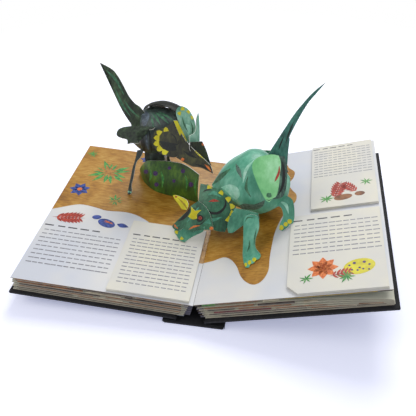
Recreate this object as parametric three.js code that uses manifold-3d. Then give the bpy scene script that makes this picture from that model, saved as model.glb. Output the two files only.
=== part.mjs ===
// An open pop-up book: three-board case, fanned card leaves, three glued booklets, and two
// horned dinosaurs of folded card that stand up from the spread. Millimetres, +Z up,
// +X to the reader's right, +Y to the head of the book, origin under the spine board.
import * as THREE from 'three';
import Module from 'manifold-3d';

const kernel = await Module();
kernel.setup();
const { Manifold, CrossSection } = kernel;

// Case
const PAGE_W = 190;
const PAGE_H = 254;
const BOARD_T = 3;
const FORE_SQUARE = 4;
const TAIL_SQUARE = 3.5;
const SPINE_W = 62;
const SPINE_T = 3.2;
const CLOTH_T = 0.8;
const COVER_LIFT = 7;
const JOINT_GAP = 19;
const BOARD_EDGE = 1;
const GAP = 0.3;

// Each half of the open book: its rise from flat, the thickness of its leaves, how far its cover
// has drawn in over the spine board, and how its leaves are fanned at the fore edge.
const HALVES = {
  front: { side: -1, rise: 2.84, leaves: 18, inset: 18, count: 6, slit: 0.75, slitDepth: 120 },
  back: { side: 1, rise: 16.46, leaves: 21.5, inset: 7, count: 7, slit: 1.15, slitDepth: 150 },
};
const GUTTER_CLEAR = 0.3;
const FOLD_CLEAR = 0.6;

// Booklets, measured on their page: distance from the gutter, then along the book
const BOOKLET_T = 3;
const BOOKLET_LEAVES = 3;
const BOOKLET_SLIT = 0.35;
const BOOKLETS = {
  left_booklet: { half: 'front', near: 5, far: 90, tail: -125, head: -17, cut: 0, open: 'near' },
  upper_booklet: { half: 'back', near: 115, far: 187, tail: -1, head: 125, cut: 0, open: 'near' },
  lower_booklet: { half: 'back', near: 94, far: 187, tail: -126, head: -10, cut: 11, open: 'far' },
};

// Paper engineering
const CARD_T = 0.8;
const FACET = 11;
const TAB_W = 7;
const SHELL_SPAN = 100;
const SHELL_FACETS = 12;
const POST_WALL = 0.8;
const POSTS = {
  rear_post: { half: 'front', at: [-76, 64], size: [30, 20], top: 110 },
  front_post: { half: 'back', at: [42, 8], size: [32, 22], top: 90 },
};

// Standing card, drawn as a foot line and a top line in plan with heights above the page
const MOUND_FOOT = [[-106, 79], [-97, 62], [-80, 47], [-62, 42], [-42, 40], [-23, 35]];
const MOUND_HEAD = [[-101, 76], [-92, 66], [-76, 58], [-58, 54], [-40, 48], [-22, 38]];
const MOUND_TALL = [17, 30, 38, 42, 44, 40];
const SCRAP_FOOT = [[-20, 40], [-14, 44], [-7, 46]];
const SCRAP_TALL = [14, 18, 12];

// Far-side leg, cut once and used on both bodies
const FAR_LEG = [
  [-10, 34], [10, 34], [13, 22], [9, 6], [8, -14], [12, -22], [11, -40], [-9, -40], [-10, -30], [-7, -20],
  [-8, -4], [-13, 12], [-13, 24],
];

// Card panels: centre, facing direction in degrees, turn in its own plane, the two bends in
// radians per millimetre, and the cut outline in millimetres on the flat card.
const PANELS = {
  rear_tail: {
    at: [-118, 72, 143], azimuth: -6, elevation: 18, roll: 0, bendU: 0, bendV: 0,
    outline: [
      [-28.5, 37], [-21, 34.5], [-12, 30.5], [-5.5, 24], [1, 14.5], [8, 3.5], [15.5, -4],
      [24.5, -9.5], [35.5, -26], [27.5, -46.5], [14.5, -37.5], [12, -29.5], [6, -22],
      [-0.5, -13], [-7.5, -1], [-13, 11.5], [-16, 22], [-23.5, 31.5],
    ],
  },
  rear_hind_foot: {
    at: [-110, 56, 105], azimuth: -12, elevation: 66, roll: 0, bendU: 0, bendV: 0,
    outline: [
      [-12.5, -5.5], [-12.5, 5], [2.5, 12], [24.5, 16], [28, 8], [10.5, 2], [17.5, -10.5],
      [5, -14], [2, -8], [1, -7],
    ],
  },
  rear_fore_leg: {
    at: [-106, 42, 53], azimuth: -25, elevation: 25, roll: 0, bendU: 0, bendV: 0,
    outline: [
      [-5, 37.5], [8, 41.5], [7, 26.5], [3.5, 12.5], [1.5, -0.5], [2, -11], [5.5, -19], [4, -22],
      [-2, -24.5], [-4, -14], [-4, -1.5], [-2.5, 12],
    ],
  },
  rear_frill_left: {
    at: [-53, 30, 120], azimuth: -22, elevation: 30, roll: 0, bendU: 0.01, bendV: 0,
    outline: [
      [-22.5, 3], [-16.5, 6.5], [-8.5, 11], [-5, 15], [0.5, 19.5], [9.5, 11], [19.5, 1],
      [18.5, -8], [12.5, -18], [3, -20], [-1, -19.5], [-6.5, -20.5], [-15, -16.5], [-23, -11.5],
      [-24.5, -3.5],
    ],
    tabs: [[0, 0, 30]],
  },
  rear_face_left: {
    at: [-38.6, 19.6, 112.8], azimuth: -25, elevation: 22, roll: 0, bendU: 0.008, bendV: 0,
    outline: [
      [-10.5, 1], [4.5, 11.5], [12.5, 6.5], [23.5, 1.5], [30, -2], [35, -4.5], [39, -8],
      [42.5, -14.5], [35, -13], [29, -12], [23, -12.5], [17, -13.5], [6, -12], [-2, -10.5],
      [-9.5, -9],
    ],
    tabs: [[-3, 0, 7]],
  },
  rear_trim: {
    at: [-42.4, 30.8, 130.1], azimuth: 20, elevation: 20, roll: 0, bendU: 0, bendV: 0,
    outline: [
      [-5.5, 12], [-1.5, 11.5], [3, 0.5], [7.5, -11.5], [4.5, -14.5], [-0.5, -3.5],
    ],
    tabs: [[0, 0, 7]],
  },
  rear_frill_right: {
    at: [-37, 46, 133], azimuth: 14, elevation: 30, roll: 0, bendU: 0.012, bendV: 0,
    outline: [
      [-10, 15.5], [-5, 18], [2, 14.5], [6, 8.5], [9, 0.5], [9.5, -10.5], [6, -20], [0, -24.5],
      [-3.5, -13], [-7, -5.5], [-10, 3.5], [-11.5, 10],
    ],
    tabs: [[-4, -4, 34]],
  },
  rear_frill_edge: {
    at: [-24, 42, 129], azimuth: 58, elevation: 20, roll: 0, bendU: 0, bendV: 0,
    outline: [
      [7, 15.5], [5, 6], [-2, -13], [-7.5, -21], [-18.5, -15], [-15.5, -3], [-5, -2], [1.5, 10],
    ],
    tabs: [[-1, -12, 18]],
  },
  rear_face_right: {
    at: [-16, 24, 110], azimuth: 46, elevation: 25, roll: 0, bendU: 0, bendV: 0,
    outline: [
      [-11.5, 15], [3.5, 11], [5.5, 0.5], [6, -7], [6.5, -19], [-1.5, -13], [-9, -2], [-14.5, 7],
    ],
  },
  front_tail: {
    at: [83, 22, 154], azimuth: 4, elevation: 16, roll: 0, bendU: 0, bendV: 0,
    outline: [
      [26.5, 45.5], [17, 32.5], [10, 22.5], [2, 6], [-5, -11.5], [-5, -16], [-5.5, -30.5],
      [-5.5, -43.5], [-8.5, -58.5], [-22.5, -59.5], [-28, -39.5], [-24, -28.5], [-18.5, -18],
      [-11, -4], [-3, 10.5], [5.5, 23], [15, 35],
    ],
  },
  front_haunch: {
    at: [58, -27, 120], azimuth: 6, elevation: 38, roll: 0, bendU: 0.01, bendV: 0.008,
    outline: [
      [-14, 11.5], [-11.5, 17], [-6, 20.5], [5, 23], [12.5, 22], [15, 14], [14, 0], [13.5, -9.5],
      [11.5, -19], [7.5, -22], [5, -25.5], [1, -23.5], [-5, -14], [-9.5, -4.5], [-13, 4.5],
    ],
    tabs: [[0, 8, 26]],
  },
  front_rump: {
    at: [72, -14, 113], azimuth: 46, elevation: 28, roll: 0, bendU: 0.012, bendV: 0,
    outline: [
      [0, 23.5], [13, 17], [13, 6], [6, -10.5], [-1, -20], [-8, -21.5], [-16, -19], [-11.5, 0.5],
      [-5, 17.5],
    ],
    tabs: [[0, 4, 24]],
  },
  front_hind_foot: {
    at: [78, -15, 73], azimuth: 10, elevation: 36, roll: 0, bendU: 0, bendV: 0,
    outline: [
      [-22, 19.5], [-11, 19], [2.5, 13.5], [9.5, 10], [12.5, 2.5], [13, -9.5], [11.5, -17],
      [8, -18], [5.5, -21], [2, -21.5], [0, -25], [-3.5, -23.5], [-2.5, -17], [0.5, -10.5],
      [0, -3], [-3.5, 1.5], [-13.5, 2],
    ],
    tabs: [[-10, 8, 30]],
  },
  front_shoulder: {
    at: [35, -42, 74], azimuth: -20, elevation: 30, roll: 0, bendU: 0.014, bendV: 0.01,
    outline: [
      [-20.5, 8.5], [-10, 9.5], [4, 11], [17, 11.5], [20, 6], [13, 2], [7, -3.5], [1, -11],
      [-6, -19.5], [-17, -23], [-25, -20.5], [-26, -5.5],
    ],
    tabs: [[0, 2, 30]],
  },
  front_fore_leg: {
    at: [49, -55, 58], azimuth: 0, elevation: 28, roll: 0, bendU: 0.012, bendV: 0,
    outline: [
      [-9.5, 20.5], [-6.5, 25.5], [-0.5, 27], [5, 24.5], [7, 13.5], [4.5, 1.5], [5.5, -8],
      [11, -14.5], [10.5, -19], [7, -21.5], [5, -24.5], [1.5, -26.5], [0.5, -30], [-3, -30.5],
      [-5.5, -26], [-7.5, -17], [-8, -5.5], [-9, 9],
    ],
    tabs: [[0, 18, 24]],
  },
  front_frill: {
    at: [7, -20, 69], azimuth: -4, elevation: 42, roll: 0, bendU: 0.012, bendV: 0.006,
    outline: [
      [-22.5, 23.5], [-16.5, 23], [-13, 23.5], [-9.5, 21], [-2.5, 20], [2.5, 19.5], [5.5, 16.5],
      [9.5, 14], [14, 13], [15, 9], [17.5, 5.5], [21, 4], [20.5, 0], [22.5, -3.5], [20, -7],
      [20, -11], [16.5, -13], [15, -19.5], [13, -25.5], [2.5, -25.5], [-9, -20], [-17.5, -10],
      [-21, 1.5], [-22, 14],
    ],
    tabs: [[2, 2, 30]],
  },
  front_face: {
    at: [-14.6, -28.7, 55], azimuth: -20, elevation: 36, roll: 0, bendU: 0.008, bendV: 0,
    outline: [
      [-2, 20.5], [7.5, 17], [15.5, 9.5], [23, -4], [12, -7.5], [5, -10.5], [-2, -14],
      [-11.5, -13.5], [-17, -18.5], [-24, -18], [-26.5, -16], [-24, -11], [-18, -1.5],
      [-12.5, 7], [-10.5, 12.5], [-5, 19],
    ],
    tabs: [[9, 2, 9]],
  },
  front_jaw: {
    at: [-20.4, -35.3, 40.9], azimuth: -20, elevation: 30, roll: 0, bendU: 0, bendV: 0,
    outline: [
      [-18.5, 2], [-10, 7], [-1, 7], [7, 9], [16, 13], [15, 6.5], [6, -1.5], [1, -7], [-3, -12],
      [-9, -12], [-14.5, -8], [-18.5, -4.5],
    ],
  },
  front_nose_horn: {
    at: [-30.7, -15.1, 64.7], azimuth: -24, elevation: 32, roll: 0, bendU: 0, bendV: 0,
    outline: [
      [-16, 4.5], [-10, 7], [7.5, 6], [13, -1], [12, -8.5], [4.5, -9.5], [-2, -5], [-10, -0.5],
    ],
    tabs: [[5, -9, 6]],
  },
  front_brow_horn: {
    at: [-16.6, -24.8, 61.4], azimuth: -6, elevation: 36, roll: 0, bendU: 0, bendV: 0,
    outline: [
      [-4.5, 5], [0, 2], [6.5, 4.5], [2.5, -0.5], [4.5, -6.5], [-2, -6.5],
    ],
    tabs: [[0, -3, 6]],
  },
  rear_far_leg: {
    at: [-78, 97, 66], azimuth: 176, elevation: 12, roll: 4, bendU: 0.01, bendV: 0,
    outline: FAR_LEG, tabs: [[0, 26, 22]],
  },
  front_far_leg: {
    at: [58, 47, 76], azimuth: 178, elevation: 8, roll: -4, bendU: 0.01, bendV: 0,
    outline: FAR_LEG, tabs: [[0, 22, 22]],
  },
};

// Body shells of curved card: rings from rump or neck, each a centre and a radius, open below.
const RINGS = {
  rear_body: [
    { at: [-111, 72, 105], radius: 7 },
    { at: [-102, 70, 103], radius: 22 },
    { at: [-88, 67, 103], radius: 29 },
    { at: [-70, 63, 110], radius: 32 },
    { at: [-54, 58, 113], radius: 25 },
    { at: [-42, 53, 113], radius: 13 },
  ],
  front_body: [
    { at: [-5, -4, 75], radius: 10 },
    { at: [12, 0, 78], radius: 19 },
    { at: [29, 5, 82], radius: 31 },
    { at: [47, 9, 85], radius: 36 },
    { at: [64, 13, 91], radius: 31 },
    { at: [76, 16, 96], radius: 17 },
  ],
};
const SHELLS = {
  rear_body: { from: -38, to: 214, lean: -8 },
  front_body: { from: -34, to: 214, lean: 6 },
};

// Order in which the card pieces are slotted: a later piece is cut clear of the ones before it.
const SLOT_ORDER = [
  'rear_frill_left', 'rear_face_left', 'rear_trim', 'rear_frill_right', 'rear_face_right', 'rear_frill_edge',
  'rear_tail', 'rear_hind_foot', 'rear_fore_leg', 'front_haunch', 'front_rump', 'front_tail',
  'front_frill', 'front_face', 'front_jaw', 'front_nose_horn', 'front_brow_horn', 'front_shoulder',
  'front_fore_leg', 'front_hind_foot', 'rear_far_leg', 'front_far_leg',
];

const COLOURS = {
  board: '#1c1d20', cloth: '#232428', endpaper: '#8f9bab', leaves: '#e4e2dc', booklet: '#ece6d4',
  rear: '#36483a', rearPale: '#8fc4a4', trim: '#d8cf2a', mound: '#4f7a2c', front: '#4f9c7c',
  frontPale: '#7cc48a', head: '#2f6a4a', post: '#e8e6df',
};

const radians = THREE.MathUtils.degToRad;

function toGeometry(solid) {
  const mesh = solid.getMesh();
  const geometry = new THREE.BufferGeometry();
  const positions = new Float32Array(mesh.numVert * 3);
  for (let i = 0; i < mesh.numVert; i += 1) {
    positions.set(mesh.vertProperties.subarray(i * mesh.numProp, i * mesh.numProp + 3), i * 3);
  }
  geometry.setAttribute('position', new THREE.BufferAttribute(positions, 3));
  geometry.setIndex(new THREE.BufferAttribute(new Uint32Array(mesh.triVerts), 1));
  geometry.computeVertexNormals();
  return geometry;
}

function mainBody(solid) {
  return solid.decompose().sort((a, b) => b.volume() - a.volume())[0];
}

function counterClockwise(points) {
  let twice = 0;
  points.forEach(([x, y], i) => {
    const [nx, ny] = points[(i + 1) % points.length];
    twice += x * ny - nx * y;
  });
  return twice > 0 ? points : [...points].reverse();
}

function shape(points) {
  return new CrossSection([counterClockwise(points)]);
}

// Extrudes an X-Z section along Y, centred on the book.
function alongBook(section, length) {
  return section.extrude(length, 0, 0, [1, 1], true).rotate([90, 0, 0]);
}

// The pivot each cloth joint gives its half: the cover's inner edge goes from where it lies on
// the open book to the spine board's edge as the cover comes upright.
function pivotOf(half) {
  const across = SPINE_W / 2 + COVER_LIFT;
  return {
    x: (half.side * (across - JOINT_GAP + half.inset)) / 2,
    z: (across + JOINT_GAP - half.inset) / 2,
  };
}

// Turns a solid drawn with its half lying flat to where that half rests.
function toRest(solid, half) {
  const pivot = pivotOf(half);
  return solid
    .translate([-pivot.x, 0, -pivot.z])
    .rotate([0, -half.side * half.rise, 0])
    .translate([pivot.x, 0, pivot.z]);
}

// Where the page's fore edge lies while its half is flat, so that the open page measures PAGE_W.
function foreEdge(half) {
  const pivot = pivotOf(half);
  const a = radians(half.rise);
  const top = COVER_LIFT + BOARD_T + half.leaves - pivot.z;
  const gutter = -Math.abs(pivot.x) * Math.cos(a) + top * Math.sin(a) * Math.tan(a);
  return PAGE_W + Math.abs(pivot.x) + gutter;
}

function pageTop(half) {
  return COVER_LIFT + BOARD_T + half.leaves;
}

function board(half) {
  const length = PAGE_H + 2 * TAIL_SQUARE;
  const outer = foreEdge(half) + FORE_SQUARE;
  const section = shape([
    [half.inset, COVER_LIFT], [outer - BOARD_EDGE, COVER_LIFT], [outer, COVER_LIFT + BOARD_EDGE],
    [outer, COVER_LIFT + BOARD_T], [half.inset, COVER_LIFT + BOARD_T],
  ].map(([x, z]) => [half.side * x, z]));
  return toRest(alongBook(section, length), half);
}

// Fanned leaves. The folds at the gutter stay inside an arc about the half's pivot, so that the
// two halves pass each other and the spine board as the book closes.
function leafSection(half) {
  const pivot = pivotOf(half);
  const px = Math.abs(pivot.x);
  const bottom = COVER_LIFT + BOARD_T + GAP;
  const top = pageTop(half);
  const crossing = px - GUTTER_CLEAR;
  const overSpine = pivot.z - SPINE_T - FOLD_CLEAR;
  const folds = [];
  const steps = 8;
  for (let i = 0; i <= steps; i += 1) {
    const z = bottom + ((top - bottom) * i) / steps;
    const below = pivot.z - z;
    const wall = px - Math.sqrt(Math.max(overSpine ** 2 - below ** 2, 0));
    const arc = px - Math.sqrt(Math.max(crossing ** 2 - below ** 2, 0));
    const edge = z < pivot.z ? wall : Math.max(arc, px - overSpine);
    folds.push([Math.max(edge, GUTTER_CLEAR), z]);
  }
  const fore = foreEdge(half);
  const leaf = (top - bottom) / half.count;
  let section = shape([...folds, [fore, top], [fore, bottom]].map(([x, z]) => [half.side * x, z]));
  for (let i = 1; i < half.count; i += 1) {
    const z = bottom + leaf * i;
    const depth = half.slitDepth * (0.55 + 0.45 * Math.sin(i * 2.1) ** 2);
    const slit = [[fore + 1, z - half.slit / 2], [fore - depth, z], [fore + 1, z + half.slit / 2]];
    const short = [
      [fore - 1.4 * Math.sin(i * 1.7) ** 2, z], [fore + 1, z],
      [fore + 1, z + leaf], [fore - 1.4 * Math.sin(i * 1.7) ** 2, z + leaf],
    ];
    section = section.subtract(shape(slit.map(([x, y]) => [half.side * x, y])));
    if (i < half.count - 1) section = section.subtract(shape(short.map(([x, y]) => [half.side * x, y])));
  }
  return section;
}

function leaves(half) {
  return toRest(alongBook(leafSection(half), PAGE_H), half);
}

// A booklet's outline as one slab on its page, grown all round by an amount.
function bookletSlab(spec, grow) {
  const half = HALVES[spec.half];
  const shift = foreEdge(half) - PAGE_W;
  const near = spec.near + shift;
  const far = spec.far + shift;
  const outline = [[near + spec.cut, spec.tail], [far, spec.tail], [far, spec.head], [near, spec.head]];
  if (spec.cut > 0) outline.push([near, spec.tail + spec.cut]);
  const flat = shape(outline.map(([x, y]) => [half.side * x, y]));
  return (grow > 0 ? flat.offset(grow, 'Miter') : flat)
    .extrude(BOOKLET_T + grow)
    .translate([0, 0, pageTop(half) + GAP]);
}

function booklet(spec) {
  const half = HALVES[spec.half];
  const shift = foreEdge(half) - PAGE_W;
  const width = spec.far - spec.near - 8;
  const start = shift + (spec.open === 'near' ? spec.near - 1 : spec.near + 9);
  let solid = bookletSlab(spec, 0);
  for (let i = 1; i < BOOKLET_LEAVES; i += 1) {
    const height = pageTop(half) + GAP + (BOOKLET_T * i) / BOOKLET_LEAVES - BOOKLET_SLIT / 2;
    const slit = Manifold.cube([width, spec.head - spec.tail - 8, BOOKLET_SLIT])
      .translate([half.side > 0 ? start : -(start + width), spec.tail - 1, height]);
    solid = solid.subtract(slit);
  }
  return toRest(solid, half);
}

function spineBoard() {
  const half = SPINE_W / 2;
  const section = shape([
    [-half, BOARD_EDGE], [-half + BOARD_EDGE, 0], [half - BOARD_EDGE, 0], [half, BOARD_EDGE],
    [half, SPINE_T], [-half, SPINE_T],
  ]);
  return alongBook(section, PAGE_H + 2 * TAIL_SQUARE);
}

// A strip that follows a line in the X-Z plane, with a given thickness.
function strip(line, thickness, length) {
  const left = [];
  const right = [];
  line.forEach(([x, z], i) => {
    const [ax, az] = line[Math.max(i - 1, 0)];
    const [bx, bz] = line[Math.min(i + 1, line.length - 1)];
    const run = Math.hypot(bx - ax, bz - az);
    const nx = (-(bz - az) / run) * (thickness / 2);
    const nz = ((bx - ax) / run) * (thickness / 2);
    left.push([x + nx, z + nz]);
    right.unshift([x - nx, z - nz]);
  });
  return alongBook(shape([...left, ...right]), length);
}

// Cloth of a joint: up round the spine board's long edge, back in over the board, and on to the
// cover's inner edge.
function jointCloth(half) {
  const edge = SPINE_W / 2 + GAP + CLOTH_T / 2;
  const over = SPINE_T + GAP + CLOTH_T / 2;
  const pivot = pivotOf(half);
  const a = radians(half.rise);
  const dx = half.inset - GAP - CLOTH_T / 2 - Math.abs(pivot.x);
  const lip = (z) => {
    const dz = z - pivot.z;
    return [
      Math.abs(pivot.x) + dx * Math.cos(a) - dz * Math.sin(a),
      pivot.z + dx * Math.sin(a) + dz * Math.cos(a),
    ];
  };
  const [lipX] = lip(COVER_LIFT);
  const line = [
    [edge, 0.6], [edge, SPINE_T], [edge - 0.6, over], [(edge + lipX) / 2, over],
    [lipX + 1.2, over + 0.1], lip(COVER_LIFT - 0.4), lip(COVER_LIFT + BOARD_T),
  ];
  return strip(line.map(([x, z]) => [half.side * x, z]), CLOTH_T, PAGE_H + 2 * TAIL_SQUARE - 2);
}

function endpaperHinge() {
  const half = HALVES.front;
  const z = COVER_LIFT + BOARD_T - CARD_T;
  const section = shape([
    [half.inset - 1.6, z - 0.4], [half.inset - 8.5, z - 0.2], [half.inset - 8.5, z + 0.5], [half.inset - 1.6, z + 0.4],
  ].map(([x, y]) => [half.side * x, y]));
  return toRest(alongBook(section, PAGE_H - 2), half);
}

// Everything a half holds below its page, grown by the gap, to trim standing card on that side.
function belowPage(half) {
  const span = 260;
  const slab = Manifold.cube([span, PAGE_H + 60, span]).translate([
    half.side > 0 ? 0 : -span, -(PAGE_H + 60) / 2, pageTop(half) + GAP - span,
  ]);
  return toRest(slab, half);
}

// The surface of a bent card: flat card coordinates and a height off the card, to the book.
function cardSurface(panel) {
  const az = radians(panel.azimuth);
  const el = radians(panel.elevation);
  const facing = new THREE.Vector3(Math.sin(az) * Math.cos(el), -Math.cos(az) * Math.cos(el), Math.sin(el));
  const across = new THREE.Vector3(0, 0, 1).cross(facing).normalize().applyAxisAngle(facing, radians(panel.roll));
  const up = facing.clone().cross(across);
  const centre = new THREE.Vector3(...panel.at);
  const bend = (rate, run) => (rate === 0 ? [run, 0] : [Math.sin(rate * run) / rate, (1 - Math.cos(rate * run)) / rate]);
  return (u, v, w) => {
    const [x, dropU] = bend(panel.bendU, u);
    const [y, dropV] = bend(panel.bendV, v);
    const alongU = across.clone().multiplyScalar(Math.cos(panel.bendU * u)).addScaledVector(facing, -Math.sin(panel.bendU * u));
    const alongV = up.clone().multiplyScalar(Math.cos(panel.bendV * v)).addScaledVector(facing, -Math.sin(panel.bendV * v));
    return centre.clone()
      .addScaledVector(across, x)
      .addScaledVector(up, y)
      .addScaledVector(facing, -dropU - dropV)
      .addScaledVector(alongU.cross(alongV).normalize(), w);
  };
}

// Bends a solid drawn on flat card on to a surface.
function warpTo(solid, surface) {
  return solid.warp((p) => {
    const q = surface(p[0], p[1], p[2]);
    p[0] = q.x;
    p[1] = q.y;
    p[2] = q.z;
  });
}

// A card panel, with its glue tabs folded straight back towards the piece that carries it.
function bentCard(panel, grow) {
  const flat = grow > 0 ? shape(panel.outline).offset(grow, 'Miter') : shape(panel.outline);
  const straight = panel.bendU === 0 && panel.bendV === 0;
  const slab = flat.extrude(CARD_T + 2 * grow, 0, 0, [1, 1], true);
  const tabs = (panel.tabs ?? []).map(([u, v, reach]) => Manifold
    .cube([TAB_W + 2 * grow, CARD_T + 2 * grow, reach])
    .translate([u - TAB_W / 2 - grow, v - CARD_T / 2 - grow, -reach]));
  return warpTo(Manifold.union([straight ? slab : slab.refineToLength(FACET), ...tabs]), cardSurface(panel));
}

// The surface of a body shell: along its rings, round from its near lower edge over the back to
// its far lower edge, and a height off the card.
function shellSurface(rings, shell) {
  const centres = new THREE.CatmullRomCurve3(rings.map((r) => new THREE.Vector3(...r.at)));
  const sizes = new THREE.CatmullRomCurve3(rings.map((r, i) => new THREE.Vector3(i, r.radius, 0)));
  const point = (u, v) => {
    const centre = centres.getPoint(u);
    const run = centres.getTangent(u);
    const near = new THREE.Vector3(run.y, -run.x, 0).normalize();
    const up = near.clone().cross(run).multiplyScalar(-1).normalize();
    if (up.z < 0) up.negate();
    if (near.y > 0) near.negate();
    const a = radians(shell.from + (shell.to - shell.from) * v + shell.lean * u);
    const radius = sizes.getPoint(u).y;
    return centre.addScaledVector(near, radius * Math.cos(a)).addScaledVector(up, radius * Math.sin(a));
  };
  const step = 0.004;
  const clip = (t) => Math.min(Math.max(t, 0), 1);
  return (u, v, w) => {
    const s = clip(u);
    const t = clip(v);
    const alongU = point(clip(s + step), t).sub(point(clip(s - step), t));
    const alongV = point(s, clip(t + step)).sub(point(s, clip(t - step)));
    const off = alongU.cross(alongV).normalize();
    const out = point(s, t).sub(centres.getPoint(s));
    if (off.dot(out) < 0) off.negate();
    return point(s, t).addScaledVector(off, w);
  };
}

function bodyShell(name, grow) {
  const surface = shellSurface(RINGS[name], SHELLS[name]);
  const slab = Manifold.cube([SHELL_SPAN, SHELL_SPAN, CARD_T + 2 * grow], true).refineToLength(SHELL_SPAN / SHELL_FACETS);
  return warpTo(slab, (x, y, w) => surface(x / SHELL_SPAN + 0.5, y / SHELL_SPAN + 0.5, w));
}

// A card that stands on the page, between a foot line and a head line in plan.
function standingCard(foot, head, tall, half, grow) {
  const rise = Math.tan(radians(half.rise)) * half.side;
  const thick = CARD_T / 2 + grow;
  const hulls = [];
  const base = pageHeight(half);
  const post = (i, x, y, z) => {
    const [ax, ay] = foot[Math.max(i - 1, 0)];
    const [bx, by] = foot[Math.min(i + 1, foot.length - 1)];
    const run = Math.hypot(bx - ax, by - ay);
    const nx = (-(by - ay) / run) * thick;
    const ny = ((bx - ax) / run) * thick;
    return [[x + nx, y + ny, z], [x - nx, y - ny, z]];
  };
  for (let i = 0; i + 1 < foot.length; i += 1) {
    const corners = [];
    for (const k of [i, i + 1]) {
      const [fx, fy] = foot[k];
      const [hx, hy] = head[k];
      corners.push(...post(k, fx, fy, base + fx * rise + GAP), ...post(k, hx, hy, base + hx * rise + tall[k]));
    }
    hulls.push(Manifold.hull(corners));
  }
  return Manifold.union(hulls);
}

// Height of the page at the gutter line once its half rests.
function pageHeight(half) {
  const pivot = pivotOf(half);
  const a = radians(half.rise);
  const off = pageTop(half) - pivot.z;
  return pivot.z + (off - Math.abs(pivot.x) * Math.sin(a)) / Math.cos(a);
}

// A folded-card tube from the page up to the inside of the body it holds.
function post(spec) {
  const [wide, deep] = spec.size;
  const outer = Manifold.cube([wide, deep, spec.top], true);
  const inner = Manifold.cube([wide - 2 * POST_WALL, deep - 2 * POST_WALL, spec.top + 2], true);
  return outer.subtract(inner).translate([spec.at[0], spec.at[1], spec.top / 2]);
}

function overlapBox(a, b) {
  const p = a.boundingBox();
  const q = b.boundingBox();
  return [0, 1, 2].every((i) => p.min[i] < q.max[i] && q.min[i] < p.max[i]);
}

function colourOf(name) {
  if (name.includes('trim') || name.includes('horn')) return COLOURS.trim;
  if (name.includes('booklet')) return COLOURS.booklet;
  if (name.includes('mound') || name.includes('scrap')) return COLOURS.mound;
  if (name.includes('post')) return COLOURS.post;
  if (name.startsWith('rear_frill_right') || name.startsWith('rear_frill_edge')) return COLOURS.rearPale;
  if (name.startsWith('rear_')) return COLOURS.rear;
  if (name === 'front_haunch' || name.endsWith('foot')) return COLOURS.frontPale;
  if (['front_frill', 'front_face', 'front_jaw'].includes(name)) return COLOURS.head;
  return COLOURS.front;
}

function node(name, solid, colour, roughness) {
  const material = new THREE.MeshStandardMaterial({ color: colour, roughness });
  const mesh = new THREE.Mesh(toGeometry(solid), material);
  mesh.name = name;
  return mesh;
}

const book = new THREE.Group();
book.name = 'pop_up_book';
const { front, back } = HALVES;

book.add(node('spine_board', spineBoard(), COLOURS.board, 0.7));
book.add(node('front_board', board(front), COLOURS.board, 0.7));
book.add(node('back_board', board(back), COLOURS.board, 0.7));
book.add(node('front_joint_cloth', jointCloth(front), COLOURS.cloth, 0.9));
book.add(node('back_joint_cloth', jointCloth(back), COLOURS.cloth, 0.9));
book.add(node('endpaper_hinge', endpaperHinge(), COLOURS.endpaper, 0.8));
book.add(node('left_leaves', leaves(front), COLOURS.leaves, 0.8));
book.add(node('right_leaves', leaves(back), COLOURS.leaves, 0.8));
for (const [name, spec] of Object.entries(BOOKLETS)) {
  book.add(node(name, booklet(spec), COLOURS.booklet, 0.8));
}

// Card pieces, each cut clear of the pages and of every piece slotted before it
const pages = Manifold.union([
  belowPage(front), belowPage(back),
  ...Object.values(BOOKLETS).map((spec) => toRest(bookletSlab(spec, GAP), HALVES[spec.half])),
]);
const placed = [];
function slot(name, solid, grown) {
  let cut = solid.subtract(pages);
  for (const other of placed) {
    if (overlapBox(cut, other)) cut = cut.subtract(other);
  }
  placed.push(grown);
  book.add(node(name, mainBody(cut), colourOf(name), 0.6));
}

for (const name of Object.keys(SHELLS)) slot(name, bodyShell(name, 0), bodyShell(name, GAP));
for (const name of SLOT_ORDER) slot(name, bentCard(PANELS[name], 0), bentCard(PANELS[name], GAP));
slot(
  'mound',
  standingCard(MOUND_FOOT, MOUND_HEAD, MOUND_TALL, front, 0),
  standingCard(MOUND_FOOT, MOUND_HEAD, MOUND_TALL, front, GAP),
);
slot(
  'foliage_scrap',
  standingCard(SCRAP_FOOT, SCRAP_FOOT, SCRAP_TALL, front, 0),
  standingCard(SCRAP_FOOT, SCRAP_FOOT, SCRAP_TALL, front, GAP),
);
for (const [name, spec] of Object.entries(POSTS)) slot(name, post(spec), post(spec));

export default book;
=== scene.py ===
"""Dress the open pop-up book: case cloth, card leaves, printed spread and two folded-card figures."""
import logging
import math
import random
from dataclasses import dataclass, field
from enum import Enum
from typing import Any, Callable, Sequence

import bmesh
import bpy
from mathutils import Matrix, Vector
from mathutils.bvhtree import BVHTree


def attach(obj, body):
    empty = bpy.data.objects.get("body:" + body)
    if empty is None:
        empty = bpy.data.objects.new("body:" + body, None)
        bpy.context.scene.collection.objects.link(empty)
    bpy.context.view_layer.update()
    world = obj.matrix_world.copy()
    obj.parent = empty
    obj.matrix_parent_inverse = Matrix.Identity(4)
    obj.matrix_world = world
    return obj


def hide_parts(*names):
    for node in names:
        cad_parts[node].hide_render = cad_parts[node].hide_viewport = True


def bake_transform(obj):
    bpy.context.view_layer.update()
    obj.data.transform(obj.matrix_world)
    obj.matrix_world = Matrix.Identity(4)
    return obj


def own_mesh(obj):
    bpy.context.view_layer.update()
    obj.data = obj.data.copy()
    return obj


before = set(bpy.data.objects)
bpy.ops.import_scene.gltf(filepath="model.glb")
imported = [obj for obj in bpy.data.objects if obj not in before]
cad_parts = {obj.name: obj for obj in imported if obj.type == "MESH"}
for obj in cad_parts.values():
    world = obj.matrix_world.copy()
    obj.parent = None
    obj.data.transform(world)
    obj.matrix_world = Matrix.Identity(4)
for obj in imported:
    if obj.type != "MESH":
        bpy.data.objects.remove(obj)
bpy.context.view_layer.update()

LOG = logging.getLogger("pop_up_book")
MM = 0.001

Point2 = tuple[float, float]
Outline = list[Point2]


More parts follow.
